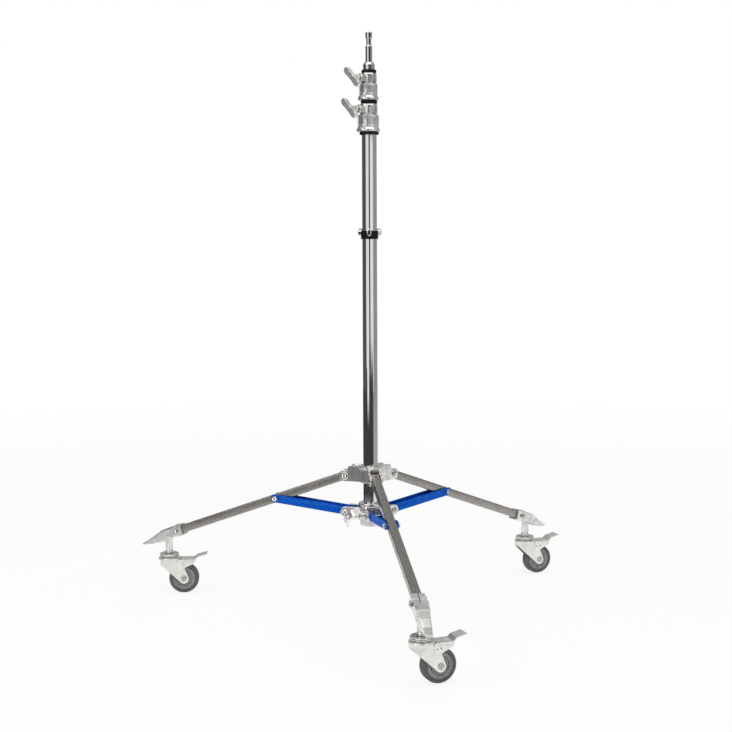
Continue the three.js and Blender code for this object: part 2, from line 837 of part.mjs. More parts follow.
const collarBoss = reachBar(clampBossRadius, columnRadius + slideGap, collarBossReach, collarBossAt);
collarParts.push(turned(collarBoss, handleTurn));
const collarScrewHole = reachBar(clearOf(handleScrewRadius), 0, collarBossReach + cutOverrun, collarBossAt);
collarCuts.push(turned(collarScrewHole, handleTurn));
collarCuts.push(bar(columnBore, collarBottom - cutOverrun, collarTop + cutOverrun, tubeSides));
piece(stand, "lock_collar", shaped(collarParts, collarCuts), "casting");

// One square leg tube along X from its pivot, with its three cross holes.
function legGeometry() {
  const half = legTube / 2;
  const end = legReach + socketOuter;
  const outline = (size, corner = 0) => [
    [-size, -size, corner],
    [size, -size, corner],
    [size, size, corner],
    [-size, size, corner],
  ];
  const outer = roundedOutline(outline(half, legCorner));
  outer.holes.push(roundedOutline(outline(half - legWall)));
  const settings = { depth: end + legInnerEnd, bevelEnabled: false, steps: 1 };
  const body = new THREE.ExtrudeGeometry(outer, settings);
  body.rotateY(Math.PI / 2).translate(-legInnerEnd, 0, 0);
  const holes = [
    crossHole(pivotBoltRadius, 0, 0, half),
    crossHole(braceBoltRadius, braceAtLeg, 0, half),
    crossHole(footBoltRadius, legReach - footBoltInner, 0, half),
  ];
  return shaped([body], holes);
}

// One brace along X from the collar's pin to the bolt at the leg: two cheeks and a web below.
// Its inner end is open, along the path the pin takes when the leg folds up about its pivot.
function braceGeometry() {
  const half = braceHeight / 2;
  const outerHalf = braceWidth / 2;
  const innerHalf = outerHalf - bracePlate;
  const cheek = [
    [-braceInnerEnd, -half, bracePlate],
    [braceLength + braceEnd, -half, half],
    [braceLength + braceEnd, half, half],
    [-braceInnerEnd, half, bracePlate],
  ];
  const web = block(
    [-braceInnerEnd, -innerHalf, -half],
    [braceLength - braceWebOuter, innerHalf, -half + bracePlate],
  );
  const [fromPin, abovePin] = [pivotRadius - collarPivotRadius, collarBelowPivot];
  const pivotAlong = fromPin * cosine(braceSlope) + abovePin * sine(braceSlope);
  const pivotUp = abovePin * cosine(braceSlope) - fromPin * sine(braceSlope);
  const swing = Math.hypot(fromPin, abovePin);
  const mouthHalf = collarPinRadius + slideGap;
  const arc = turnedRing(
    [
      [swing - mouthHalf, -braceWidth],
      [swing + mouthHalf + braceMouthBelow, -braceWidth],
      [swing + mouthHalf + braceMouthBelow, braceWidth],
      [swing - mouthHalf, braceWidth],
    ],
    arcSides,
  );
  arc.rotateX(Math.PI / 2).translate(pivotAlong, 0, pivotUp);
  const outward = block([0, -braceLength, -braceLength], [braceLength, braceLength, braceLength]);
  const mouth = shaped([arc], [outward]);
  const mouthEnd = crossBar(collarPinRadius + forkEndGap, 0, 0, -braceWidth, braceWidth);
  const lip = block([-braceLength, -braceWidth, braceLipHeight], [-braceLipStart, braceWidth, braceHeight]);
  const boltHole = crossHole(braceBoltRadius, braceLength, 0, outerHalf);
  const cheeks = platePair(cheek, innerHalf - weldOverlap, outerHalf);
  return shaped([...cheeks, web], [mouth, mouthEnd, lip, boltHole]);
}

// One foot casting in the leg's vertical plane, X outward from the mast.
function footGeometry() {
  const [along, up] = [cosine(legSlope), sine(legSlope)];
  const onLeg = (distance, rise) => [
    pivotRadius + distance * along + rise * up,
    pivotHeight - distance * up + rise * along,
  ];
  const fromStem = (reach, drop) => [stemReach + reach, legHeightAtStem - drop];
  const half = legTube / 2;
  const roof = half + socketRoof;
  const floor = half + socketFloor;
  const floorRear = half + socketFloorRear;
  const start = legReach - socketInner;
  const end = legReach + socketOuter;
  const socketOutline = [
    [...onLeg(start, roof), legCorner],
    [...onLeg(start, -floor), legCorner],
    [...onLeg(legReach - socketThinInner, -floorRear)],
    [...onLeg(end + socketStop, -floorRear)],
    [...onLeg(end, roof)],
  ];
  const socket = plate(socketOutline, -socketWidth / 2, socketWidth / 2);
  const bandStart = legReach - socketBandInner;
  const bandEnd = bandStart + socketBandLength;
  const bandOutline = [
    [...onLeg(bandStart, roof + socketBandProud)],
    [...onLeg(bandStart, -half)],
    [...onLeg(bandEnd, -half)],
    [...onLeg(bandEnd, roof + socketBandProud)],
  ];
  const bandHalf = socketWidth / 2 + socketBandProud;
  const band = plate(bandOutline, -bandHalf, bandHalf);
  const beakOutline = [
    [...onLeg(end - socketStop, roof)],
    [...onLeg(legReach, -floorRear)],
    [...fromStem(beakHeel, beakHeelDrop)],
    [...fromStem(beakSole, beakSoleDrop)],
    [...fromStem(beakTip, beakTipDrop + beakTipHeight), beakTipHeight / 2],
    [...fromStem(beakTip, beakTipDrop), beakTipHeight / 2],
    [...fromStem(beakNeck, beakNeckDrop), beakTip],
    [...fromStem(beakShoulder, beakShoulderDrop), beakTip],
  ];
  const taper = THREE.MathUtils.radToDeg(Math.atan2((beakWidth - beakTipWidth) / 2, beakTip - beakRoot));
  const trim = (side) => {
    const cutter = block(
      [-cutOverrun, 0, 0],
      [beakTip + cutOverrun, beakWidth, legHeightAtStem + cutOverrun],
    );
    cutter.rotateZ(radians(-taper)).translate(stemReach + beakRoot, beakWidth / 2, 0);
    return side > 0 ? cutter : cutter.rotateX(Math.PI).translate(0, 0, legHeightAtStem + cutOverrun);
  };
  const beak = shaped([plate(beakOutline, -beakWidth / 2, beakWidth / 2)], [trim(1), trim(-1)]);
  const stem = bar(bossRadius, bossBottom, legHeightAtStem, tubeSides).translate(stemReach, 0, 0);
  const slitBox = block(
    [start - cutOverrun, -footSlit / 2, half],
    [start + footSlitLength, footSlit / 2, roof + cutOverrun],
  );
  const hole = half + fitGap;
  const tubeHole = block([start - cutOverrun, -hole, -hole], [end + fitGap, hole, hole]);
  for (const cutter of [slitBox, tubeHole]) {
    cutter.rotateY(radians(legSlope)).translate(pivotRadius, 0, pivotHeight);
  }
  const boltHole = crossHole(footBoltRadius, ...onLeg(legReach - footBoltInner, 0), bandHalf);
  const stemHole = bar(clearOf(stemRadius), bossBottom - cutOverrun, raceTop + stemLength + fitGap);
  stemHole.translate(stemReach, 0, 0);
  return shaped([socket, band, beak, stem], [slitBox, tubeHole, boltHole, stemHole]);
}

// Caster pieces, about the caster's own upright axis, X along the trail.
function stemGeometry() {
  return turnedRound([
    [0, raceBottom],
    [raceRadius - raceEdge, raceBottom],
    [raceRadius, raceBottom + raceEdge],
    [raceRadius, raceTop - raceEdge],
    [raceRadius - raceEdge, raceTop],
    [stemRadius, raceTop],
    [stemRadius, raceTop + stemLength],
    [0, raceTop + stemLength],
  ]);
}

const forkInner = tyreWidth / 2 + forkBesideTyre;
const forkOuter = forkInner + forkPlate;
const pedalPivotHeight = forkCapBottom - pedalPivotDrop;

function forkGeometry() {
  const capTop = forkCapBottom + forkCapHeight;
  const cap = turnedRound([
    [0, forkCapBottom],
    [forkCapRadius - forkPlate, forkCapBottom],
    [forkCapRadius, forkCapBottom + forkPlate],
    [forkCapRadius, capTop - forkPlate],
    [forkCapRadius - forkPlate, capTop],
    [0, capTop],
  ]);
  const cheek = [
    [-forkHeel, forkCapBottom + forkPlate],
    [-forkHeel, forkCapBottom - forkHeelDrop],
    [casterTrail + forkToe, wheelRadius - forkToeBelowAxle, forkToeRadius],
    [casterTrail + forkToeRear, wheelRadius - forkToeRearBelowAxle, forkToeRadius],
    [casterTrail + forkBack, forkCapBottom - forkBackDrop, forkToeRadius],
    [casterTrail + forkBack, forkCapBottom - forkBackTopDrop],
    [forkNeck, forkCapBottom],
    [forkNeck, forkCapBottom + forkPlate],
  ];
  const axleHole = crossHole(axleRadius, casterTrail, wheelRadius, forkOuter);
  const pivotHole = crossHole(pedalPivotRadius, pedalPivotReach, pedalPivotHeight, forkOuter);
  return shaped([cap, ...platePair(cheek, forkInner, forkOuter)], [axleHole, pivotHole]);
}

// The pedal: a pressed cover astride the fork, a raised tread behind it and a stub pin each side.
function pedalGeometry() {
  const inner = forkOuter + slideGap;
  const outer = inner + pedalPlate;
  const top = forkCapBottom + pedalRise;
  const cover = plate(
    [
      [pedalCoverFront, top - pedalPlate],
      [pedalRear, top - pedalPlate],
      [pedalRear, top],
      [pedalCoverFront, top],
    ],
    -outer,
    outer,
  );
  const skirt = [
    [pedalFront, forkCapBottom - pedalSkirtDrop, pedalPlate],
    [pedalSkirtMiddle, forkCapBottom - pedalSkirtDrop, pedalPlate],
    [pedalSkirtEnd, forkCapBottom - pedalSkirtEndDrop],
    [pedalRear, top - pedalRearHeight],
    [pedalRear, top],
    [pedalFront, top, pedalPlate],
  ];
  const tread = plate(
    [
      [pedalRear - pedalPlate, top - pedalPlate],
      [pedalRear, top - pedalPlate],
      [treadFront + pedalPlate / 2, top + treadRise - pedalPlate],
      [treadEnd, top + treadEndRise - pedalPlate],
      [treadEnd, top + treadEndRise],
      [treadFront, top + treadRise],
      [pedalRear - pedalPlate, top],
    ],
    -treadWidth / 2,
    treadWidth / 2,
  );
  const pins = [
    crossBar(pedalPivotRadius, pedalPivotReach, pedalPivotHeight, forkInner + fitGap, outer),
    crossBar(pedalPivotRadius, pedalPivotReach, pedalPivotHeight, -outer, -forkInner - fitGap),
  ];
  const middle = (pedalCoverFront + pedalRear) / 2;
  const holes = [-1, 1].map((side) => {
    const hole = bar(pedalHoleRadius, top - cutOverrun, top + cutOverrun);
    return hole.translate(middle + side * pedalHoleSpacing, 0, 0);
  });
  return shaped([cover, tread, ...platePair(skirt, inner, outer), ...pins], holes);
}

// Wheel pieces, about the wheel's own axle along Z until they are laid over.
function tyreGeometry() {
  const half = tyreWidth / 2;
  const inner = wheelRadius - tyreDepth;
  const soft = tyreCornerRadius;
  return turnedRing(
    [
      [inner, -half],
      [wheelRadius - soft, -half],
      [wheelRadius - soft * tyreCornerShare, -half + soft * tyreCornerShare],
      [wheelRadius, -half + soft],
      [wheelRadius, half - soft],
      [wheelRadius - soft * tyreCornerShare, half - soft * tyreCornerShare],
      [wheelRadius - soft, half],
      [inner, half],
    ],
    wheelSides,
  );
}

function coreGeometry() {
  const outer = wheelRadius - tyreDepth - fitGap;
  const half = tyreWidth / 2 - fitGap;
  const profile = [
    [coreBossRadius, coreBossHalf],
    [coreBossRadius + coreStepDepth, coreWallHalf],
    [outer * coreRimShare, coreWallHalf],
    [outer, half],
  ];
  const lower = profile.map(([radius, height]) => [radius, -height]);
  const bore = axleRadius + fitGap;
  const points = [[bore, -coreBossHalf], ...lower, ...profile.reverse(), [bore, coreBossHalf]];
  return turnedRing(points, wheelSides);
}

// One leg with its brace, foot and caster.
for (const [leg, turn] of Object.entries(legTurns)) {
  const side = turnedGroup(stand, turn);
  const onPivot = placedGroup(side, pivotRadius, pivotHeight, legSlope);
  piece(onPivot, `leg_${leg}`, legGeometry(), "plated");
  const pivotBolt = bolt(pivotBoltRadius, pivotBoltHeadRadius, pivotBoltHeadHeight, earOuter);
  piece(onPivot, `leg_pivot_bolt_${leg}`, pivotBolt, "plated");
  const braceBolt = bolt(braceBoltRadius, braceBoltHeadRadius, braceBoltHeadHeight, braceWidth / 2);
  const onBraceBolt = new THREE.Group();
  onBraceBolt.position.set(braceAtLeg, 0, 0);
  onPivot.add(onBraceBolt);
  piece(onBraceBolt, `brace_bolt_${leg}`, braceBolt, "plated");
  const onCollarPin = placedGroup(side, ...braceInner, -braceSlope);
  piece(onCollarPin, `brace_${leg}`, braceGeometry(), "brace");
  const pin = bolt(collarPinRadius, collarPinHeadRadius, collarPinHeadHeight, collarEarOuter, smallSides);
  piece(onCollarPin, `collar_pin_${leg}`, pin, "plated");
  piece(side, `foot_${leg}`, footGeometry(), "casting");
  const footBoltHalf = socketWidth / 2 + socketBandProud;
  const footBolt = bolt(footBoltRadius, footBoltHeadRadius, footBoltHeadHeight, footBoltHalf);
  const onFootBolt = new THREE.Group();
  onFootBolt.position.set(legReach - footBoltInner, 0, 0);
  onPivot.add(onFootBolt);
  piece(onFootBolt, `foot_bolt_${leg}`, footBolt, "plated");

  const onStem = placedGroup(side, stemReach, 0);
  onStem.rotation.z = radians(casterTurns[leg] - turn);
  piece(onStem, `caster_stem_${leg}`, stemGeometry(), "plated");
  piece(onStem, `fork_${leg}`, forkGeometry(), "plated");
  piece(onStem, `brake_pedal_${leg}`, pedalGeometry(), "plated");
  const onAxle = placedGroup(onStem, casterTrail, wheelRadius);
  const lying = new THREE.Group();
  lying.rotation.x = Math.PI / 2;
  onAxle.add(lying);
  piece(lying, `tyre_${leg}`, tyreGeometry(), "tyre");
  piece(lying, `wheel_core_${leg}`, coreGeometry(), "core");
  const axle = bolt(axleRadius, axleHeadRadius, axleHeadHeight, forkOuter);
  piece(onAxle, `axle_bolt_${leg}`, axle, "plated");
}

// The footprint's middle goes to the origin, the wheels' lowest points to the floor.
stand.updateMatrixWorld(true);
const box = new THREE.Box3().setFromObject(stand, true);
const middle = box.getCenter(new THREE.Vector3());
stand.position.set(-middle.x, -middle.y, -box.min.z);
stand.updateMatrixWorld(true);

export default stand;
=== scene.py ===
"""Looks of a folding roller stand for lights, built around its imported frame.

Every piece is shaped in millimetres in a frame of its own and then placed in the stand's frame,
which is in metres with the floor at zero and the front leg along -Y.
"""

import json
import logging
import math
from collections.abc import Sequence
from dataclasses import dataclass, field
from enum import Enum

import bmesh
import bpy
from mathutils import Matrix, Vector


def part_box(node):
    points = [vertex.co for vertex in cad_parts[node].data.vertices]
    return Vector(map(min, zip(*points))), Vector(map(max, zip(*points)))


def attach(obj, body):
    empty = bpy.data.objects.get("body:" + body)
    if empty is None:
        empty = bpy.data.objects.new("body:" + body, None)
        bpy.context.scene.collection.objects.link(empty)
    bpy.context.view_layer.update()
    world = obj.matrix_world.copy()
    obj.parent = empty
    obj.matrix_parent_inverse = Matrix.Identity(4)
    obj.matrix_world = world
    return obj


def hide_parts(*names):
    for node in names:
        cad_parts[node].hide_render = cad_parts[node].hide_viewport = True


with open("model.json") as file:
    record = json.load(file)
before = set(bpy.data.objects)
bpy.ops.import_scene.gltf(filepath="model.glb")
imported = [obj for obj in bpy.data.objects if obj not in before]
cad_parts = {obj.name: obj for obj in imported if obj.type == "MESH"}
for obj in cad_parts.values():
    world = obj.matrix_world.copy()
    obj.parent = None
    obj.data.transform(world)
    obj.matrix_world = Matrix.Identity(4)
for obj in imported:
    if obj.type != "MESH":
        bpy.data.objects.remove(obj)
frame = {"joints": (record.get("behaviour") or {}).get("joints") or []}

MM = 0.001

# WELD is in metres, EASED_ANGLE and CAST_SMOOTH in degrees and CAMERA_TURN in radians. The other sizes
# are in millimetres.
WELD = 1e-7
ON_AXIS = 1e-6
LONG_STEP = 3.0
STEP_INSET = 0.25
EASED_ANGLE = 35
CAST_SMOOTH = 55
RUNNING_GAP = 0.3
COLUMN_BORE = 17.8
SCREW_HOLE = 4.4
EAR_START = 17.5
SPIGOT_LENGTH = 69.5
SPIGOT_SHOULDER = 17.0
BRACE_ON_LEG = 195.5
FOOT_BOLT_FROM_END = 27.0
COLLAR_PIN_REACH = 57.0
COLLAR_BELOW_PIVOT = 86.7
PAD_SUNK = 0.45
CAMERA_TURN = 0.1847
MIRRORED = Matrix.Diagonal((1, -1, 1, 1))

Corner = tuple[float, ...]
Outline = Sequence[Corner]
log = logging.getLogger("roller_stand")


# Shapes.


class Axis(Enum):
    """The direction that a round shape stands along."""

    ALONG = "x"
    ACROSS = "y"
    UP = "z"


def turn_to(axis: Axis) -> Matrix:
    """Return the turn that lays a shape made along Z onto an axis.

    Args:
        axis: The axis that the shape ends up along.

    Returns:
        A rotation matrix.
    """
    if axis is Axis.ALONG:
        return Matrix.Rotation(math.pi / 2, 4, "Y")
    if axis is Axis.ACROSS:
        return Matrix.Rotation(-math.pi / 2, 4, "X")
    return Matrix.Identity(4)


def linked(name: str, data: bpy.types.ID) -> bpy.types.Object:
    """Make an object of some data and put it in the scene."""
    made = bpy.data.objects.new(name, data)
    bpy.context.scene.collection.objects.link(made)
    return made


def mesh_object(name: str, points: list[Vector], faces: list[list[int]]) -> bpy.types.Object:
    """Make an object of points and faces, with its faces turned outward.

    Args:
        name: The object's name.
        points: Its corners, in millimetres.
        faces: Corner numbers of each face.

    Returns:
        The new object, scaled to metres and linked to the scene.
    """
    mesh = bpy.data.meshes.new(name)
    mesh.from_pydata([tuple(p * MM) for p in points], [], faces)
    shape = bmesh.new()
    shape.from_mesh(mesh)
    bmesh.ops.remove_doubles(shape, verts=shape.verts, dist=WELD)
    bmesh.ops.recalc_face_normals(shape, faces=shape.faces)
    shape.to_mesh(mesh)
    shape.free()
    return linked(name, mesh)


def steadied(profile: Outline, closed: bool) -> list[Corner]:
    """Add a point just inside each end of a profile's long steps, so that they shade straight.

    Args:
        profile: Points of (radius, height), in millimetres.
        closed: True if the last point joins the first.

    Returns:
        The longer profile.
    """
    out = []
    ends = [*profile, profile[0]] if closed else list(profile)
    for first, last in zip(ends, ends[1:]):
        start, end = Vector(first), Vector(last)
        out.append(first)
        length = (end - start).length
        if length > LONG_STEP:
            share = STEP_INSET / length
            out += [tuple(start.lerp(end, share)), tuple(start.lerp(end, 1 - share))]
    return out if closed else [*out, profile[-1]]


def spun(
    name: str,
    profile: Outline,
    axis: Axis = Axis.UP,
    at: Corner = (0, 0, 0),
    sides: int = 72,
    closed: bool = False,
) -> bpy.types.Object:
    """Turn a profile of (radius, height) points round an axis.

    Args:
        name: The object's name.
        profile: Points in millimetres, from one end to the other.
        axis: The axis to turn round.
        at: The place of the profile's zero, in millimetres.
        sides: The number of steps round the axis.
        closed: True for a ring, whose last point joins its first.

    Returns:
        The new object.
    """
    turn = Matrix.Translation(Vector(at)) @ turn_to(axis)
    points, rings = [], []
    for radius, height in steadied(profile, closed):
        ring = []
        if radius < ON_AXIS:
            ring = [len(points)] * sides
            points.append(turn @ Vector((0, 0, height)))
        else:
            for step in range(sides):
                angle = 2 * math.pi * (step + 0.5) / sides
                ring.append(len(points))
                points.append(turn @ Vector((radius * math.cos(angle), radius * math.sin(angle), height)))
        rings.append(ring)
    pairs = list(zip(rings, rings[1:]))
    if closed:
        pairs.append((rings[-1], rings[0]))
    faces = []
    for low, high in pairs:
        for step in range(sides):
            after = (step + 1) % sides
            face = [low[step], low[after], high[after], high[step]]
            face = [corner for place, corner in enumerate(face) if corner != face[place - 1]]
            if len(set(face)) > 2:
                faces.append(face)
    if not closed:
        for ring in (rings[0], rings[-1]):
            if len(set(ring)) > 2:
                faces.append(list(ring))
    return mesh_object(name, points, faces)


def rounded(corners: Outline, steps: int = 6) -> list[tuple[float, float]]:
    """Round the corners of an outline of (x, z, radius) points.

    Args:
        corners: Points, each with an optional corner radius.
        steps: The number of steps of each rounded corner.

    Returns:
        The outline's points.
    """
    out = []
    for at, corner in enumerate(corners):
        here = Vector(corner[:2])
        radius = corner[2] if len(corner) > 2 else 0
        before = Vector(corners[at - 1][:2]) - here
        after = Vector(corners[(at + 1) % len(corners)][:2]) - here
        if radius == 0:
            out.append(tuple(here))
            continue
        half = before.angle(after) / 2
        set_back = min(radius / math.tan(half), before.length / 2, after.length / 2)
        used = set_back * math.tan(half)
        centre = here + (before.normalized() + after.normalized()).normalized() * used / math.sin(half)
        first = here + before.normalized() * set_back - centre
        last = here + after.normalized() * set_back - centre
        start = math.atan2(first.y, first.x)
        sweep = (math.atan2(last.y, last.x) - start + math.pi) % (2 * math.pi) - math.pi
        for step in range(steps + 1):
            angle = start + sweep * step / steps
            out.append((centre.x + used * math.cos(angle), centre.y + used * math.sin(angle)))
    return out


def slab(name: str, corners: Outline, near: float, far: float) -> bpy.types.Object:
    """Make a plate whose outline lies in the XZ plane and whose thickness runs along Y.

    Args:
        name: The object's name.
        corners: The outline, as for rounded.
        near: Where the thickness starts.
        far: Where it ends.

    Returns:
        The new object.
    """
    outline = rounded(corners)
    count = len(outline)
    points = [Vector((x, y, z)) for y in (near, far) for x, z in outline]
    faces = [list(range(count)), list(range(2 * count - 1, count - 1, -1))]
    for at in range(count):
        after = (at + 1) % count
        faces.append([at, at + count, after + count, after])
    return mesh_object(name, points, faces)


def brick(name: str, low: Corner, high: Corner) -> bpy.types.Object:
    """Make a block between two corners, for joining and cutting."""
    corners = [(low[0], low[2]), (high[0], low[2]), (high[0], high[2]), (low[0], high[2])]
    return slab(name, corners, low[1], high[1])


def rod(
    name: str, radius: float, start: float, end: float, axis: Axis, at: Corner = (0, 0, 0),
) -> bpy.types.Object:
    """Make a plain round bar along an axis, for joining and cutting."""
    return spun(name, [(0, start), (radius, start), (radius, end), (0, end)], axis, at, 40)


def moved(piece: bpy.types.Object, by: Matrix) -> bpy.types.Object:
    """Move a piece's mesh by a matrix whose lengths are in millimetres."""
    scaled = by.copy()
    scaled.translation = by.translation * MM
    piece.data.transform(scaled)
    return piece


def turned(degrees: float, axis: str = "Z") -> Matrix:
    """Return a turn by degrees round an axis."""
    return Matrix.Rotation(math.radians(degrees), 4, axis)


def shift(x: float = 0, y: float = 0, z: float = 0) -> Matrix:
    """Return a move in metres from lengths in millimetres."""
    return Matrix.Translation(Vector((x, y, z)) * MM)


def applied(piece: bpy.types.Object) -> bpy.types.Object:
    """Turn a piece's modifiers into its mesh."""
    bpy.context.view_layer.update()
    graph = bpy.context.evaluated_depsgraph_get()
    mesh = bpy.data.meshes.new_from_object(piece.evaluated_get(graph))
    old = piece.data
    piece.modifiers.clear()
    piece.data = mesh
    bpy.data.meshes.remove(old)
    return piece


def dropped(tools: Sequence[bpy.types.Object]) -> None:
    """Remove objects that only served to make another one."""
    for tool in tools:
        mesh = tool.data
        bpy.data.objects.remove(tool)
        bpy.data.meshes.remove(mesh)


def cut(piece: bpy.types.Object, cutters: Sequence[bpy.types.Object]) -> bpy.types.Object:
    """Take cutters away from a piece.

    Args:
        piece: The piece to cut.
        cutters: What is taken away; they are removed afterwards.

    Returns:
        The same piece with its new mesh.
    """
    for cutter in cutters:
        step = piece.modifiers.new("cut", "BOOLEAN")
        step.operation = "DIFFERENCE"
        step.solver = "MANIFOLD"
        step.object = cutter
    applied(piece)
    dropped(cutters)
    return piece


def joined(name: str, parts: Sequence[bpy.types.Object]) -> bpy.types.Object:
    """Put several shapes into one object, without fusing them."""
    shape = bmesh.new()
    for part in parts:
        shape.from_mesh(part.data)
    mesh = bpy.data.meshes.new(name)
    shape.to_mesh(mesh)
    shape.free()
    dropped(parts)
    return linked(name, mesh)


def cast(name: str, parts: Sequence[bpy.types.Object], grain: float, passes: int) -> bpy.types.Object:
    """Fuse overlapping shapes into one solid with the soft inner corners of a casting or pressing.

    Args:
        name: The object's name.
        parts: The shapes to fuse; they are removed afterwards.
        grain: The size of the mesh's squares, in millimetres.
        passes: How often the surface is smoothed.

    Returns:
        The fused object.
    """
    made = joined(name, parts)
    remesh = made.modifiers.new("fuse", "REMESH")
    remesh.mode = "VOXEL"
    remesh.voxel_size = grain * MM
    soften = made.modifiers.new("soften", "SMOOTH")
    soften.factor = 0.5
    soften.iterations = passes
    return applied(made)


def eased(piece: bpy.types.Object, width: float) -> bpy.types.Object:
    """Round a piece's sharp edges by a width in millimetres."""
    ease = piece.modifiers.new("ease", "BEVEL")
    ease.width = width * MM
    ease.segments = 2
    ease.limit_method = "ANGLE"
    ease.angle_limit = math.radians(EASED_ANGLE)
    return applied(piece)


def tube_profile(inner: float, outer: float, low: float, high: float, soft: float) -> list[Corner]:
    """Return a ring's closed profile with softened outer edges."""
    return [
        (inner, low), (outer - soft, low), (outer - soft * 0.3, low + soft * 0.3), (outer, low + soft),
        (outer, high - soft), (outer - soft * 0.3, high - soft * 0.3), (outer - soft, high),
        (inner, high),
    ]


def even_ring(name: str, side: Outline, sides: int) -> bpy.types.Object:
    """Turn a ring round Y from one side's (radius, distance) points, the same on its other side."""
    profile = [(radius, -distance) for radius, distance in side] + list(side)[::-1]
    return spun(name, profile, Axis.ACROSS, sides=sides, closed=True)


@dataclass(frozen=True)
class Bolt:
    """A bolt along Y with a domed head, a chamfered nut and a washer under each.

    Attributes:
        half: Half the thickness that the bolt holds.
        shank: The shank's radius.
        head: The head's radius.
        height: The head's height.
        sides: The nut's sides.
    """

    half: float
    shank: float
    head: float
    height: float
    sides: int = 6

    def build(self, name: str) -> bpy.types.Object:
        """Make the bolt."""
        near, washer, soft = self.half + RUNNING_GAP, self.height * 0.28, self.height * 0.25
        head, top = self.head, near + self.height
        domed = [
            (0, -top), (head * 0.45, -top), (head * 0.8, soft * 0.6 - top),
            (head * 0.92, soft * 1.8 - top), (head * 0.92, -near - washer), (head, -near - washer),
            (head, -near), (self.shank, -near), (self.shank, near), (head, near), (head, near + washer),
            (0, near + washer),
        ]
        flat = head * 0.94
        nut = spun(name + "_nut", [
            (0, near + washer - 0.2), (flat, near + washer - 0.2), (flat, top - soft), (flat * 0.86, top),
            (0, top),
        ], Axis.ACROSS, sides=self.sides)
        end = rod(name + "_end", self.shank * 0.9, near, top, Axis.ACROSS)
        bolt = spun(name + "_head", domed, Axis.ACROSS, sides=40)
        return joined(name, [bolt, eased(nut, 0.25), end])


# Finishes.


class Nodes:
    """A material's or a group's node tree, with short calls for what this file needs."""

    def __init__(self, tree: bpy.types.NodeTree) -> None:
        """Keep the tree that the calls add to."""
        self.tree = tree

    def add(self, kind: str, **settings: object) -> bpy.types.Node:
        """Add a node and set its properties."""
        node = self.tree.nodes.new(kind)
        for name, value in settings.items():
            setattr(node, name, value)
        return node

    def link(self, source: bpy.types.NodeSocket, target: bpy.types.NodeSocket) -> None:
        """Join an output to an input."""
        self.tree.links.new(source, target)

    def math(self, operation: str, first: object, second: object = None) -> bpy.types.NodeSocket:
        """Add a calculation with one or two sockets or numbers."""
        node = self.add("ShaderNodeMath", operation=operation)
        for at, value in enumerate((first, second)):
            if isinstance(value, bpy.types.NodeSocket):
                self.link(value, node.inputs[at])
            elif value is not None:
                node.inputs[at].default_value = value
        return node.outputs[0]

    def spread(
        self, value: bpy.types.NodeSocket, low: float, high: float, to: Corner = (0, 1),
    ) -> bpy.types.NodeSocket:
        """Map a value from one range to another, kept inside it."""
        node = self.add("ShaderNodeMapRange", clamp=True)
        self.link(value, node.inputs["Value"])
        for name, number in zip(("From Min", "From Max", "To Min", "To Max"), (low, high, *to)):
            node.inputs[name].default_value = number
        return node.outputs["Result"]

    def mix(self, share: object, first: object, second: object) -> bpy.types.NodeSocket:
        """Mix two colours by a share."""
        node = self.add("ShaderNodeMix", data_type="RGBA")
        for socket, value in ((node.inputs[0], share), (node.inputs[6], first), (node.inputs[7], second)):
            if isinstance(value, bpy.types.NodeSocket):
                self.link(value, socket)
            elif isinstance(value, tuple):
                socket.default_value = (*value, 1)
            else:
                socket.default_value = value
        return node.outputs[2]

    def noise(
        self, scale: bpy.types.NodeSocket, detail: float, at: bpy.types.NodeSocket | None = None,
    ) -> bpy.types.Node:
        """Add noise over the object's own frame, or over another vector."""
        noise = self.add("ShaderNodeTexNoise")
        self.link(at or self.add("ShaderNodeTexCoord").outputs["Object"], noise.inputs["Vector"])
        self.link(scale, noise.inputs["Scale"])
        noise.inputs["Detail"].default_value = detail
        return noise

    def seen(self) -> bpy.types.NodeSocket:
        """Return 1 for rays from the camera, from reflections and through glass, and 0 for others."""
        rays = self.add("ShaderNodeLightPath")
        seen = self.math("MAXIMUM", rays.outputs["Is Camera Ray"], rays.outputs["Is Glossy Ray"])
        return self.math("MAXIMUM", seen, rays.outputs["Is Transmission Ray"])

    def shared(self, group: bpy.types.NodeTree, values: dict[str, object] | None = None) -> bpy.types.Node:
        """Add a shared effect and set its inputs by name."""
        node = self.add("ShaderNodeGroup", node_tree=group)
        for name, value in (values or {}).items():
            node.inputs[name].default_value = value
        return node


def new_material(name: str) -> tuple[bpy.types.Material, Nodes]:
    """Make a material and return it with its nodes."""
    material = bpy.data.materials.new(name)
    material.use_nodes = True
    return material, Nodes(material.node_tree)


@dataclass(frozen=True)
class EffectSocket:
    """One input or output of a shared effect."""

    name: str
    kind: str = "NodeSocketFloat"
    value: float | None = None


def effect(
    name: str, inputs: Sequence[EffectSocket], outputs: Sequence[EffectSocket],
) -> tuple[Nodes, dict, dict]:
    """Start a shared effect as a shader node group.

    Args:
        name: The group's name.
        inputs: Its inputs.
        outputs: Its outputs.

    Returns:
        Its nodes, its inputs by name and its outputs by name.
    """
    tree = bpy.data.node_groups.new(name, "ShaderNodeTree")
    for sockets, side in ((inputs, "INPUT"), (outputs, "OUTPUT")):
        for socket in sockets:
            made = tree.interface.new_socket(name=socket.name, in_out=side, socket_type=socket.kind)
            if socket.value is not None:
                made.default_value = socket.value
    nodes = Nodes(tree)
    entry = nodes.add("NodeGroupInput")
    leave = nodes.add("NodeGroupOutput")
    ins = {socket.name: entry.outputs[socket.name] for socket in inputs}
    outs = {socket.name: leave.inputs[socket.name] for socket in outputs}
    return nodes, ins, outs


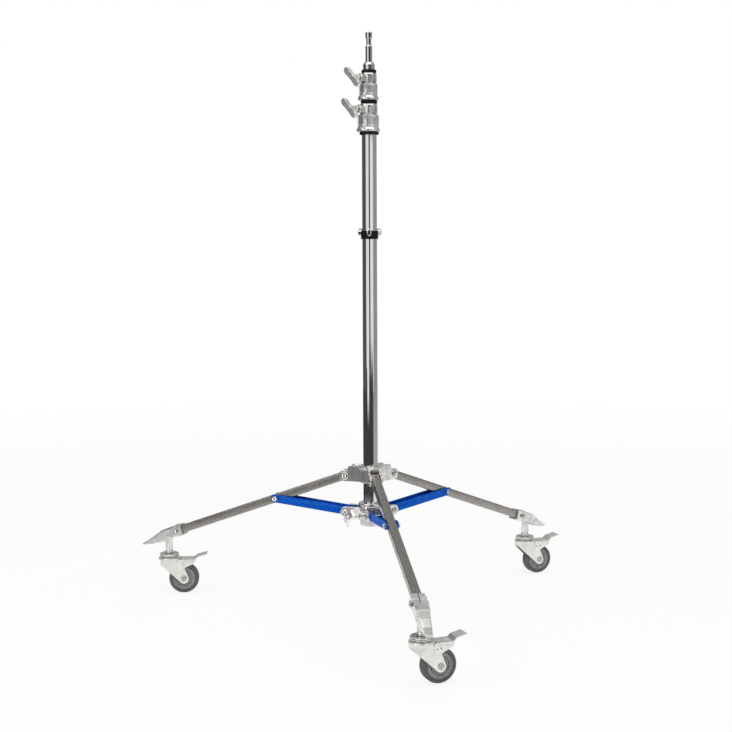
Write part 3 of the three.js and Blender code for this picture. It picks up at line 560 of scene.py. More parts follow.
@dataclass
class Effects:
    """The effects that several finishes share, each built once."""

    wear: bpy.types.NodeTree = field(init=False)
    grain: bpy.types.NodeTree = field(init=False)
    streaks: bpy.types.NodeTree = field(init=False)
    smudge: bpy.types.NodeTree = field(init=False)

    def __post_init__(self) -> None:
        """Build each group."""
        self.wear = self.build_wear()
        self.grain = self.build_grain()
        self.streaks = self.build_streaks()
        self.smudge = self.build_smudge()

    def build_wear(self) -> bpy.types.NodeTree:
        """Build the mask of rubbed outer edges, broken up by noise."""
        nodes, ins, outs = effect(
            "edge_wear",
            [EffectSocket("Reach", value=0.05), EffectSocket("Scale", value=300.0)],
            [EffectSocket("Mask")],
        )
        shape = nodes.add("ShaderNodeNewGeometry")
        noise = nodes.noise(ins["Scale"], 3)
        edge = nodes.math("SUBTRACT", shape.outputs["Pointiness"], 0.5)
        ratio = nodes.math("DIVIDE", edge, ins["Reach"])
        broken = nodes.math("MULTIPLY", ratio, nodes.spread(noise.outputs["Fac"], 0.35, 0.65))
        nodes.link(nodes.spread(broken, 0.2, 0.8), outs["Mask"])
        return nodes.tree

    def build_grain(self) -> bpy.types.NodeTree:
        """Build a fine cast or moulded grain: a height for bumps and a mask for colour."""
        nodes, ins, outs = effect(
            "fine_grain",
            [EffectSocket("Scale", value=900.0), EffectSocket("Coarse", value=120.0)],
            [EffectSocket("Height"), EffectSocket("Mask")],
        )
        fine = nodes.noise(ins["Scale"], 4).outputs["Fac"]
        coarse = nodes.noise(ins["Coarse"], 2).outputs["Fac"]
        height = nodes.math("ADD", nodes.math("MULTIPLY", fine, 0.45), nodes.math("MULTIPLY", coarse, 0.55))
        nodes.link(height, outs["Height"])
        nodes.link(nodes.spread(coarse, 0.38, 0.66), outs["Mask"])
        return nodes.tree

    def build_streaks(self) -> bpy.types.NodeTree:
        """Build rub and drawing lines, stretched by the factors along each axis."""
        nodes, ins, outs = effect(
            "drawn_lines",
            [EffectSocket("Across", value=1500.0), EffectSocket("Stretch", "NodeSocketVector")],
            [EffectSocket("Height"), EffectSocket("Mask")],
        )
        place = nodes.add("ShaderNodeTexCoord")
        scaled = nodes.add("ShaderNodeVectorMath", operation="MULTIPLY")
        nodes.link(place.outputs["Object"], scaled.inputs[0])
        nodes.link(ins["Stretch"], scaled.inputs[1])
        noise = nodes.noise(ins["Across"], 5, scaled.outputs[0])
        noise.inputs["Roughness"].default_value = 0.65
        nodes.link(noise.outputs["Fac"], outs["Height"])
        nodes.link(nodes.spread(noise.outputs["Fac"], 0.36, 0.68), outs["Mask"])
        return nodes.tree

    def build_smudge(self) -> bpy.types.NodeTree:
        """Build the soft patches of handling marks and dust."""
        nodes, ins, outs = effect("smudge", [EffectSocket("Scale", value=18.0)], [EffectSocket("Mask")])
        noise = nodes.noise(ins["Scale"], 6)
        noise.inputs["Distortion"].default_value = 0.6
        nodes.link(nodes.spread(noise.outputs["Fac"], 0.42, 0.66), outs["Mask"])
        return nodes.tree


Colour = tuple[float, float, float]


class Slot(Enum):
    """The record's material slots."""

    TUBE = "chrome_tube"
    TURNED = "turned_chrome"
    FASTENERS = "fasteners"
    LEG = "leg_tube"
    ZINC = "zinc_plate"
    BLUE = "blue_paint"
    TYRE = "tyre_rubber"
    NYLON = "wheel_nylon"
    HANDLE = "handle_casting"
    BLACK = "black_plastic"
    CASTING = "casting"


@dataclass(frozen=True)
class Finish:
    """One surface finish: plain numbers, made into a material that shares the effects.

    Attributes:
        name: The material's name.
        slot: The record's slot for it; not used.
        base: The main colour, in linear values.
        second: The colour in patches, or where the grain is deep.
        worn: The colour of rubbed edges.
        metallic: 1 for bare metal.
        roughness: The lowest and highest roughness.
        wear: How far rubbed edges reach; 0 for none.
        grain: The scales of the fine and of the coarse grain.
        bump: The bump's strength.
        depth: The bump's height, in millimetres.
        stretch: Drawn lines' stretch along each axis, or None for grain.
        specular: How strongly a bare surface of paint, plastic or rubber reflects.
    """

    name: str
    slot: Slot
    base: Colour
    second: Colour
    worn: Colour
    metallic: float
    roughness: tuple[float, float]
    wear: float
    grain: tuple[float, float]
    bump: float
    depth: float
    stretch: tuple[float, float, float] | None = None
    specular: float = 0.5

    def build(self, effects: Effects) -> bpy.types.Material:
        """Make the material.

        Args:
            effects: The shared node groups.

        Returns:
            The new material.
        """
        material, nodes = new_material(self.name)
        shader = material.node_tree.nodes["Principled BSDF"]
        if self.stretch:
            texture = nodes.shared(effects.streaks, {"Across": self.grain[0], "Stretch": self.stretch})
        else:
            texture = nodes.shared(effects.grain, {"Scale": self.grain[0], "Coarse": self.grain[1]})
        smudge = nodes.shared(effects.smudge)
        patches = nodes.math("MULTIPLY", texture.outputs["Mask"], 0.5)
        patches = nodes.math("ADD", patches, nodes.math("MULTIPLY", smudge.outputs["Mask"], 0.4))
        colour = nodes.mix(patches, self.base, self.second)
        if self.wear > 0:
            wear = nodes.shared(effects.wear, {"Reach": self.wear})
            colour = nodes.mix(wear.outputs["Mask"], colour, self.worn)
        nodes.link(colour, shader.inputs["Base Color"])
        rough = nodes.math("ADD", nodes.math("MULTIPLY", smudge.outputs["Mask"], 0.6),
                           nodes.math("MULTIPLY", texture.outputs["Mask"], 0.4))
        nodes.link(nodes.spread(rough, 0, 1, self.roughness), shader.inputs["Roughness"])
        bump = nodes.add("ShaderNodeBump")
        bump.inputs["Strength"].default_value = self.bump
        bump.inputs["Distance"].default_value = self.depth * MM
        nodes.link(texture.outputs["Height"], bump.inputs["Height"])
        nodes.link(bump.outputs["Normal"], shader.inputs["Normal"])
        shader.inputs["Metallic"].default_value = self.metallic
        shader.inputs["Specular IOR Level"].default_value = self.specular
        return material


CHROME_TUBE = Finish(
    "chrome_tube", Slot.TUBE, (0.74, 0.735, 0.72), (0.66, 0.655, 0.64), (0.8, 0.8, 0.8),
    1.0, (0.03, 0.07), wear=0, grain=(1400.0, 90.0), bump=0.1, depth=0.012, stretch=(1.0, 1.0, 0.012),
)
TURNED_CHROME = Finish(
    "turned_chrome", Slot.TURNED, (0.74, 0.73, 0.71), (0.6, 0.59, 0.58), (0.8, 0.8, 0.8),
    1.0, (0.04, 0.09), wear=0, grain=(1500.0, 90.0), bump=0.1, depth=0.02, stretch=(0.02, 0.02, 1.0),
)
LEG_STEEL = Finish(
    "leg_steel", Slot.LEG, (0.27, 0.255, 0.235), (0.19, 0.178, 0.162), (0.42, 0.4, 0.37),
    1.0, (0.24, 0.38), wear=0.05, grain=(1300.0, 90.0), bump=0.35, depth=0.03, stretch=(0.012, 1.0, 1.0),
)
CASTING = Finish(
    "bright_casting", Slot.CASTING, (0.84, 0.825, 0.805), (0.5, 0.49, 0.475), (0.93, 0.925, 0.91),
    0.8, (0.09, 0.22), wear=0.07, grain=(420.0, 90.0), bump=0.5, depth=0.3,
)
HANDLE = Finish(
    "handle_casting", Slot.HANDLE, (0.93, 0.925, 0.91), (0.76, 0.75, 0.735), (0.95, 0.95, 0.94),
    0.75, (0.1, 0.22), wear=0.07, grain=(700.0, 110.0), bump=0.2, depth=0.08,
)
ZINC = Finish(
    "zinc_pressing", Slot.ZINC, (0.86, 0.865, 0.82), (0.72, 0.72, 0.67), (0.92, 0.92, 0.89),
    0.8, (0.24, 0.4), wear=0.05, grain=(1000.0, 60.0), bump=0.2, depth=0.04,
)
RACE = Finish(
    "race_plating", Slot.ZINC, (0.72, 0.715, 0.7), (0.55, 0.545, 0.53), (0.85, 0.85, 0.84),
    1.0, (0.1, 0.2), wear=0.05, grain=(900.0, 90.0), bump=0.2, depth=0.04,
)
FASTENER = Finish(
    "fastener", Slot.FASTENERS, (0.46, 0.45, 0.43), (0.3, 0.29, 0.27), (0.7, 0.69, 0.67),
    1.0, (0.16, 0.3), wear=0.06, grain=(900.0, 150.0), bump=0.2, depth=0.04,
)
GILT_SCREW = Finish(
    "yellow_zinc_screw", Slot.HANDLE, (0.55, 0.42, 0.2), (0.34, 0.26, 0.12), (0.7, 0.6, 0.38),
    1.0, (0.2, 0.34), wear=0.05, grain=(900.0, 150.0), bump=0.2, depth=0.03,
)
BLUE = Finish(
    "blue_paint", Slot.BLUE, (0.002, 0.096, 0.62), (0.0015, 0.066, 0.44), (0.02, 0.15, 0.6),
    0.0, (0.34, 0.5), wear=0.05, grain=(260.0, 60.0), bump=0.12, depth=0.04, specular=0.02,
)
BLACK = Finish(
    "black_plastic", Slot.BLACK, (0.006, 0.006, 0.006), (0.012, 0.012, 0.012), (0.03, 0.03, 0.03),
    0.0, (0.4, 0.55), wear=0.05, grain=(900.0, 120.0), bump=0.15, depth=0.04, specular=0.15,
)
TYRE = Finish(
    "tyre_rubber", Slot.TYRE, (0.1, 0.093, 0.087), (0.15, 0.14, 0.132), (0.2, 0.19, 0.18),
    0.0, (0.5, 0.72), wear=0.05, grain=(700.0, 110.0), bump=0.3, depth=0.08, specular=0.25,
)
NYLON = Finish(
    "wheel_nylon", Slot.NYLON, (0.4, 0.39, 0.41), (0.26, 0.25, 0.266), (0.62, 0.61, 0.63),
    0.0, (0.36, 0.52), wear=0.08, grain=(600.0, 90.0), bump=0.15, depth=0.05, specular=0.3,
)


@dataclass
class Paintbox:
    """Builds each finish's material the first time that it is asked for."""

    effects: Effects = field(default_factory=Effects)
    made: dict[str, bpy.types.Material] = field(default_factory=dict)

    def material(self, finish: Finish) -> bpy.types.Material:
        """Return the finish's material."""
        if finish.name not in self.made:
            self.made[finish.name] = finish.build(self.effects)
        return self.made[finish.name]

    def dress(self, piece: bpy.types.Object, finish: Finish, smooth: float) -> None:
        """Give a piece its finish and its shading.

        Args:
            piece: The piece.
            finish: Its finish.
            smooth: Edges blunter than this many degrees shade smooth.
        """
        piece.data.materials.clear()
        piece.data.materials.append(self.material(finish))
        piece.data.shade_smooth()
        piece.data.set_sharp_from_angle(angle=math.radians(smooth))


@dataclass
class Assembly:
    """What every sub-assembly shares: the paints and the frame that its pieces are shaped in."""

    paints: Paintbox
    place: Matrix

    def hand_over(
        self,
        piece: bpy.types.Object,
        finish: Finish,
        body: str,
        nodes: Sequence[str],
        place: Matrix | None = None,
        smooth: float = 40.0,
        own_frame: bool = False,
    ) -> None:
        """Place a finished piece, paint it and tie it to its body.

        Args:
            piece: The piece, shaped in its own frame.
            finish: Its finish.
            body: The body that it moves with.
            nodes: The frame's nodes that it stands for.
            place: Its frame, if it isn't the assembly's.
            smooth: Edges blunter than this many degrees shade smooth.
            own_frame: True if its drawn lines run along a frame of its own.
        """
        self.paints.dress(piece, finish, smooth)
        if own_frame:
            piece.matrix_world = place or self.place
        else:
            piece.data.transform(place or self.place)
        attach(piece, body)
        if nodes:
            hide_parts(*nodes)
        log.info("%s rides on %s, %d faces", piece.name, body, len(piece.data.polygons))

    def fasten(self, name: str, bolt: Bolt, node: str, body: str, where: Matrix) -> None:
        """Build a bolt at a place and tie it to its body."""
        self.hand_over(bolt.build(name), FASTENER, body, [node], where, smooth=30)


# Mast.


@dataclass
class Mast(Assembly):
    """The three tubes, their bushes, the spigot and the catch ring."""

    column_radius: float = 17.5
    riser_one_radius: float = 15.0
    riser_two_radius: float = 12.5
    wall: float = 1.5
    edge: float = 0.5
    post_stretch: float = 1.5

    def span(self, node: str) -> tuple[float, float]:
        """Return a node's lowest and highest point, in millimetres."""
        low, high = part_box(node)
        return low.z / MM, high.z / MM

    def ring(self, node: str, inner: float, outer: float, soft: float, finish: Finish, body: str) -> None:
        """Make one tube, bush or glide over its node's height."""
        low, high = self.span(node)
        piece = spun("mast_" + node, tube_profile(inner, outer, low, high, soft), sides=96, closed=True)
        self.hand_over(piece, finish, body, [node])

    def build_tubes(self) -> None:
        """Build the column and the two risers with their glides."""
        for tube, radius in (
            ("column", self.column_radius),
            ("riser_1", self.riser_one_radius),
            ("riser_2", self.riser_two_radius),
        ):
            self.ring(tube, radius - self.wall, radius, self.edge, CHROME_TUBE, tube)
        for riser, radius, around in (
            ("riser_1", self.riser_one_radius, self.column_radius),
            ("riser_2", self.riser_two_radius, self.riser_one_radius),
        ):
            outer = around - self.wall - RUNNING_GAP
            self.ring(riser + "_glide", radius - 2 * self.wall, outer, self.edge, BLACK, riser)

    def build_bushes(self) -> None:
        """Build the black rings above and below the clamps."""
        self.ring("lower_clamp_bush", self.column_radius + RUNNING_GAP, 23.0, 2.6, BLACK, "column")
        self.ring("lower_riser_bush", self.riser_one_radius + RUNNING_GAP, 19.4, 2.2, BLACK, "column")
        self.ring("upper_riser_bush", self.riser_two_radius + RUNNING_GAP, 17.6, 2.0, BLACK, "riser_1")

    def build_spigot(self) -> None:
        """Build the turned pin with its shoulder, its undercut and its turning marks."""
        low, high = self.span("spigot")
        top, pin = high, high - SPIGOT_LENGTH
        shoulder = pin - SPIGOT_SHOULDER
        waist_top = top - 13.5
        waist_low = waist_top - 17.0
        profile = [
            (0, low), (10.7, low), (10.7, shoulder), (13.2, shoulder), (13.8, shoulder + 0.6),
            (13.8, shoulder + 4.2), (13.3, shoulder + 4.7), (13.3, shoulder + 5.5),
            (13.8, shoulder + 6.0), (13.8, pin - 5.7), (13.5, pin - 5.1), (11.2, pin - 0.4), (10.8, pin),
            (8.4, pin), (8, pin + 0.4), (8, waist_low - 2.4), (7.8, waist_low - 1.9),
            (6.2, waist_low - 0.2), (6, waist_low + 0.4), (6, waist_top - 0.4), (6.3, waist_top - 0.05),
            (7.7, waist_top), (8, waist_top + 0.35), (8, top - 1.6), (7.9, top - 1.3), (6.7, top - 0.1),
            (6.2, top), (0, top),
        ]
        self.hand_over(spun("spigot_pin", profile, sides=96), TURNED_CHROME, "riser_2", ["spigot"])

    def build_catch(self) -> None:
        """Build the ring round the column's middle, with its three posts."""
        low, high = self.span("catch_ring")
        outer = 20.6
        groove = (low + high) / 2
        profile = [
            (COLUMN_BORE, low), (outer - 1.6, low), (outer - 0.4, low + 0.5), (outer, low + 1.6),
            (outer, groove - 3.2), (outer - 0.5, groove - 2.7), (outer - 0.5, groove - 1.9),
            (outer, groove - 1.4), (outer, high - 1.6), (outer - 0.4, high - 0.5), (outer - 1.6, high),
            (COLUMN_BORE, high),
        ]
        self.hand_over(spun("catch_band", profile, sides=96, closed=True), BLACK, "column",
                       ["catch_ring"], smooth=50)
        for leg in Leg.NAMES:
            node = f"catch_post_{leg}"
            low_corner, high_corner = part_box(node)
            centre = (low_corner + high_corner) / 2
            axis = self.place.translation
            out = Vector((centre.x - axis.x, centre.y - axis.y, 0)).normalized()
            start, end = 18.2, 30.4
            post = spun(f"catch_stud_{leg}", [
                (0, start), (5.9, start), (5.9, end - 2.2), (5.5, end - 1.2), (4.6, end - 0.4),
                (3.2, end), (0, end),
            ], Axis.ALONG, sides=48)
            post.data.transform(Matrix.Diagonal((1, 1, self.post_stretch, 1)))
            where = Matrix.Translation((axis.x, axis.y, centre.z)) @ facing(out)
            self.hand_over(post, TURNED_CHROME, "column", [node], where)

    def build(self) -> None:
        """Build everything on the mast's axis but the castings."""
        self.build_tubes()
        self.build_bushes()
        self.build_spigot()
        self.build_catch()


def facing(out: Vector) -> Matrix:
    """Return the turn whose X runs along a level direction and whose Z stays up."""
    return Matrix.Rotation(math.atan2(out.y, out.x), 4, "Z")


def joint(name: str) -> dict:
    """Return the frame's joint of that name."""
    return next(j for j in frame["joints"] if j["name"] == name)


def mast_axis() -> Vector:
    """Return the foot of the mast's axis on the floor."""
    low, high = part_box("column")
    return Vector(((low.x + high.x) / 2, (low.y + high.y) / 2, 0))


# Clamps and handles.


@dataclass
class Clamp(Assembly):
    """A casting that grips a tube below its slot and guides a thinner one above it."""

    node: str
    body: str
    seat: float
    tube: float
    riser: float
    grip_radius: float
    grip_lean: float
    head_radius: float
    head_lean: float
    skirt_radius: float
    skirt_height: float
    boss_reach: float
    boss_radius: float = 10.0
    slot_turn: float = 70.0
    slit_lag: float = 24.0

    def shell(self, low: float, high: float) -> list[bpy.types.Object]:
        """Make the skirt, the grip and the head as overlapping rounds."""
        grip, seat, head = self.grip_radius, self.seat, self.head_radius
        skirt = low + self.skirt_height
        neck, panel = grip - 1.3, grip - 1.4
        lower = spun("lower", [
            (0, low), (self.skirt_radius - 0.8, low), (self.skirt_radius, low + 0.9),
            (self.skirt_radius, low + self.skirt_height * 0.36), (grip + 1.1, skirt - 1.0), (neck, skirt),
            (neck, skirt + 1.0), (grip, skirt + 1.8), (grip, skirt + 2.8), (panel, skirt + 3.8),
            (panel, seat - 5.4), (grip, seat - 4.4), (grip, seat - 2.0), (grip - 1.2, seat - 0.8),
            (0, seat - 0.8),
        ], at=(self.grip_lean, 0, 0))
        lean = (self.head_lean, 0, 0)
        upper = spun("upper", [
            (0, seat + 0.8), (head - 0.9, seat + 0.8), (head, seat + 1.8), (head, high - 3.2),
            (head - 0.8, high - 2.4), (head - 0.8, high - 1.2), (head - 1.6, high), (0, high),
        ], at=lean)
        waist = rod("waist", head - 1.7, seat - 2, seat + 3, Axis.UP, lean)
        return [lower, upper, waist]

    def ribs(self, low: float) -> list[bpy.types.Object]:
        """Make the four upright ribs on the grip."""
        made = []
        for step in range(4):
            rib = brick("rib", (self.grip_radius - 2.4, -1.5, low + self.skirt_height * 0.5),
                        (self.grip_radius + 1.1, 1.5, self.seat - 1.8))
            made.append(moved(rib, Matrix.Translation((self.grip_lean, 0, 0)) @ turned(45 + 90 * step)))
        return made

    def boss(self, height: float) -> bpy.types.Object:
        """Make the screw's boss with its groove."""
        radius, reach = self.boss_radius, self.boss_reach
        start = self.riser + 1.0
        return spun("boss", [
            (0, start), (radius, start), (radius, reach - 4.6), (radius - 1.3, reach - 3.6),
            (radius - 1.3, reach - 2.8), (radius - 0.5, reach - 2.0), (radius - 0.5, reach - 0.8),
            (radius - 1.3, reach), (0, reach),
        ], Axis.ALONG, (0, 0, height))

    def build(self) -> None:
        """Build the casting, then cut its bores, its slot and its slit."""
        low, high = (corner.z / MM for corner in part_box(self.node))
        middle = (self.seat + high) / 2
        parts = [*self.shell(low, high), *self.ribs(low), self.boss(middle)]
        body = cast(self.node + "_shell", parts, grain=0.6, passes=3)
        reach = self.skirt_radius + 8
        slot = brick("slot", (self.riser, -8.5, self.seat + 0.4), (reach, 8.5, self.seat + 3.4))
        slit = brick("slit", (0, -0.9, self.seat + 1.6), (reach, 0.9, high + 6))
        cutters = [
            rod("bore", self.riser + RUNNING_GAP, low - 5, high + 5, Axis.UP),
            rod("seat", self.tube + RUNNING_GAP, low - 5, self.seat + RUNNING_GAP, Axis.UP),
            rod("screw_hole", SCREW_HOLE, 0, self.boss_reach + 6, Axis.ALONG, (0, 0, middle)),
            moved(slot, turned(self.slot_turn)),
            moved(slit, turned(self.slot_turn + self.slit_lag)),
        ]
        cut(body, cutters)
        self.hand_over(body, CASTING, self.body, [self.node], smooth=CAST_SMOOTH)


@dataclass
class Handle(Assembly):
    """A T-handle on its threaded screw, X outward along the screw."""

    node: str
    tip: float
    boss_reach: float
    reach: float
    tilt: float
    swept: bool
    half: float
    wide: float = 16.0
    thick: float = 9.0
    pitch: float = 1.5

    def straight_bar(self) -> bpy.types.Object:
        """Make the waisted cross bar of the clamps' handles."""
        wide, half = self.wide / 2, self.half
        corners = []
        for sign in (1, -1):
            corners += [
                (-half * sign, -wide * 0.55 * sign, wide / 2), (-half * 0.72 * sign, -wide * sign, wide),
                (0, -wide * 0.72 * sign, wide), (half * 0.72 * sign, -wide * sign, wide),
                (half * sign, -wide * 0.55 * sign, wide / 2),
            ]
        bar = slab("bar", corners, -self.thick / 2, self.thick / 2)
        return moved(bar, turned(-90))

    def swept_bar(self) -> bpy.types.Object:
        """Make the collar's cross bar, whose wings sweep back toward the mast."""
        sweep, thick, half = 14.0, self.thick, self.half
        bend, middle = sweep * 0.22, half * 0.55
        tip_back = -sweep - thick * 0.6
        corners = [
            (-sweep, -half, 3), (thick / 2 - bend, -middle, 20), (thick / 2, 0, 20),
            (thick / 2 - bend, middle, 20), (-sweep, half, 3), (tip_back, half * 0.88, 3),
            (-thick / 2 - bend, middle, 20), (-thick / 2, 0, 20), (-thick / 2 - bend, -middle, 20),
            (tip_back, -half * 0.88, 3),
        ]
        return slab("bar", corners, -self.wide / 2, self.wide / 2)

    def build(self) -> None:
        """Build the cross bar with its neck, and the threaded screw."""
        bar = self.swept_bar() if self.swept else self.straight_bar()
        turn = Matrix.Translation((self.reach, 0, 0)) @ turned(self.tilt, "X")
        neck_start, neck_end = self.boss_reach + 2.5, self.reach + self.thick / 2 + 0.3
        neck = spun("neck", [
            (0, neck_start), (6.6, neck_start), (7.5, neck_start + 0.9), (7.5, neck_start + 3.2),
            (6.9, neck_start + 4.0), (6.9, neck_end - 5), (7.5, neck_end - 1.2), (6.6, neck_end),
            (0, neck_end),
        ], Axis.ALONG, sides=48)
        casting = cast(self.node + "_grip", [moved(bar, turn), neck], grain=0.5, passes=2)
        self.hand_over(casting, HANDLE, self.node, [self.node], smooth=60)
        root, crest = 3.35, 4.0
        profile: list[Corner] = [(0, self.tip), (3.2, self.tip)]
        height = self.tip + 0.6
        while height < neck_start + 0.4:
            profile.append((root, height))
            profile += [(crest, height + self.pitch * share) for share in (0.42, 0.58)]
            height += self.pitch
        profile += [(3.4, height), (0, height)]
        screw = spun(self.node + "_screw", profile, Axis.ALONG, sides=40)
        self.hand_over(screw, GILT_SCREW, self.node, [], smooth=30)


# Hub and collar.


@dataclass
class EaredCasting(Assembly):
    """A casting round the column with a pair of ears and a bolt toward each leg."""

    @staticmethod
    def bolt_hole(reach: float, height: float, outer: float, turn: Matrix) -> bpy.types.Object:
        """Make the hole through one pair of ears, whose outer faces are that far from the middle."""
        hole = rod("pin_hole", SCREW_HOLE, -outer * 2, outer * 2, Axis.ACROSS, (reach, 0, height))
        return moved(hole, turn)

    def fasten_ears(self, name: str, bolt: Bolt, node: str, body: str, reach: float, height: float) -> None:
        """Put a bolt through the ears of each leg.

        Args:
            name: The bolts' name, without the leg's.
            bolt: Its sizes.
            node: Their node's name, without the leg's.
            body: The body that they move with.
            reach: How far they are from the mast's axis.
            height: Their height.
        """
        for leg in Leg.NAMES:
            where = self.place @ shift(z=height) @ facing(Leg.direction(leg)) @ shift(reach)
            self.fasten(f"{name}_{leg}", bolt, f"{node}_{leg}", body, where)


@dataclass
class Hub(EaredCasting):
    """The fixed casting that carries the legs on three pairs of ears."""

    pivot: float
    pivot_reach: float = 62.0
    radius: float = 26.0
    above: float = 26.0
    below: float = 14.4
    ear_inner: float = 10.6
    ear_wall: float = 4.6
    lobe: float = 13.5
    roof_reach: float = 53.0
    bridge_reach: float = 46.0
    bridge_height: float = 9.5

    def build(self) -> None:
        """Build the barrel, the ears and the bridges over the legs' ends, and cut the bores."""
        pivot, radius, reach = self.pivot, self.radius, self.pivot_reach
        low, high = pivot - self.below, pivot + self.above
        outer = self.ear_inner + self.ear_wall
        parts = [spun("barrel", [
            (0, low), (radius - 1, low), (radius, low + 1), (radius, high - 7),
            (radius + 2.4, high - 4.6), (radius + 2.4, high - 1), (radius + 1.4, high), (0, high),
        ])]
        ear = [
            (EAR_START, low + 1), (reach + self.lobe, low, self.lobe),
            (reach + self.lobe, pivot + self.lobe, self.lobe), (self.roof_reach, pivot + self.lobe, 4),
            (self.roof_reach, high, 12), (EAR_START, high),
        ]
        cutters = [rod("bore", COLUMN_BORE, low - 6, high + 6, Axis.UP)]
        for leg in Leg.NAMES:
            turn = facing(Leg.direction(leg))
            for near, far in ((self.ear_inner, outer), (-outer, -self.ear_inner)):
                parts.append(moved(slab("ear", ear, near, far), turn))
                side = 1 if near > 0 else -1
                at = (reach, side * outer - PAD_SUNK, pivot)
                pad = rod("pad", 8.8, 0, 0.9, Axis.ACROSS, at)
                parts.append(moved(pad, turn))
            bridge = brick("bridge", (EAR_START, -outer + 1, high - self.bridge_height),
                           (self.bridge_reach - 1.5, outer - 1, high - 2.2))
            parts.append(moved(bridge, turn))
            cutters.append(self.bolt_hole(reach, pivot, outer, turn))
        body = cut(cast("hub_shell", parts, grain=0.8, passes=3), cutters)
        self.hand_over(body, CASTING, "column", ["hub_casting"], smooth=CAST_SMOOTH)
        pin = Bolt(outer, shank=4, head=7, height=2.5)
        self.fasten_ears("hub_pin", pin, "leg_pivot_bolt", "column", reach, pivot)


@dataclass
class Collar(EaredCasting):
    """The sliding casting that carries the braces on three pairs of ears."""

    pin: float
    pin_reach: float = COLLAR_PIN_REACH
    radius: float = 26.0
    above: float = 23.0
    below: float = 33.0
    ear_inner: float = 15.6
    ear_wall: float = 6.0
    ear_half: float = 12.0
    lobe: float = 14.0
    boss_reach: float = 39.0
    boss_drop: float = 5.7

    def build(self) -> None:
        """Build the barrel, the ears and the screw's boss, and cut the bores."""
        pin_height, radius, tip, half = self.pin, self.radius, self.boss_reach, self.ear_half
        low, high = pin_height - self.below, pin_height + self.above
        outer = self.ear_inner + self.ear_wall
        parts = [spun("barrel", [
            (0, low), (radius - 1.4, low), (radius, low + 1.4), (radius, high - 9),
            (radius + 3.5, high - 5.5), (radius + 3.5, high - 1.2), (radius + 2.4, high), (0, high),
        ])]
        reach = self.pin_reach + self.lobe
        ear = [
            (EAR_START, pin_height - half - 3.5), (radius, pin_height - half - 3.5, 3.5),
            (reach, pin_height - half, half), (reach, pin_height + half, half),
            (EAR_START, pin_height + half),
        ]
        boss_at = pin_height - self.boss_drop
        boss = spun("boss", [
            (0, 18.5), (10, 18.5), (10, tip - 3.4), (8.9, tip - 2.6), (8.9, tip - 0.8), (8.1, tip),
            (0, tip),
        ], Axis.ALONG, (0, 0, boss_at))
        parts.append(moved(boss, facing(HANDLE_SIDE)))
        cutters = [rod("bore", COLUMN_BORE, low - 6, high + 6, Axis.UP)]
        screw = rod("screw_hole", SCREW_HOLE, 0, tip + 6, Axis.ALONG, (0, 0, boss_at))
        cutters.append(moved(screw, facing(HANDLE_SIDE)))
        for leg in Leg.NAMES:
            turn = facing(Leg.direction(leg))
            for near, far in ((self.ear_inner, outer), (-outer, -self.ear_inner)):
                parts.append(moved(slab("ear", ear, near, far), turn))
            cutters.append(self.bolt_hole(self.pin_reach, pin_height, outer, turn))
        body = cut(cast("collar_shell", parts, grain=0.8, passes=3), cutters)
        self.hand_over(body, CASTING, "lock_collar", ["lock_collar"], smooth=CAST_SMOOTH)
        pin = Bolt(outer, shank=4, head=6.5, height=3, sides=40)
        self.fasten_ears("collar_stud", pin, "collar_pin", "lock_collar", self.pin_reach, pin_height)


# Legs.


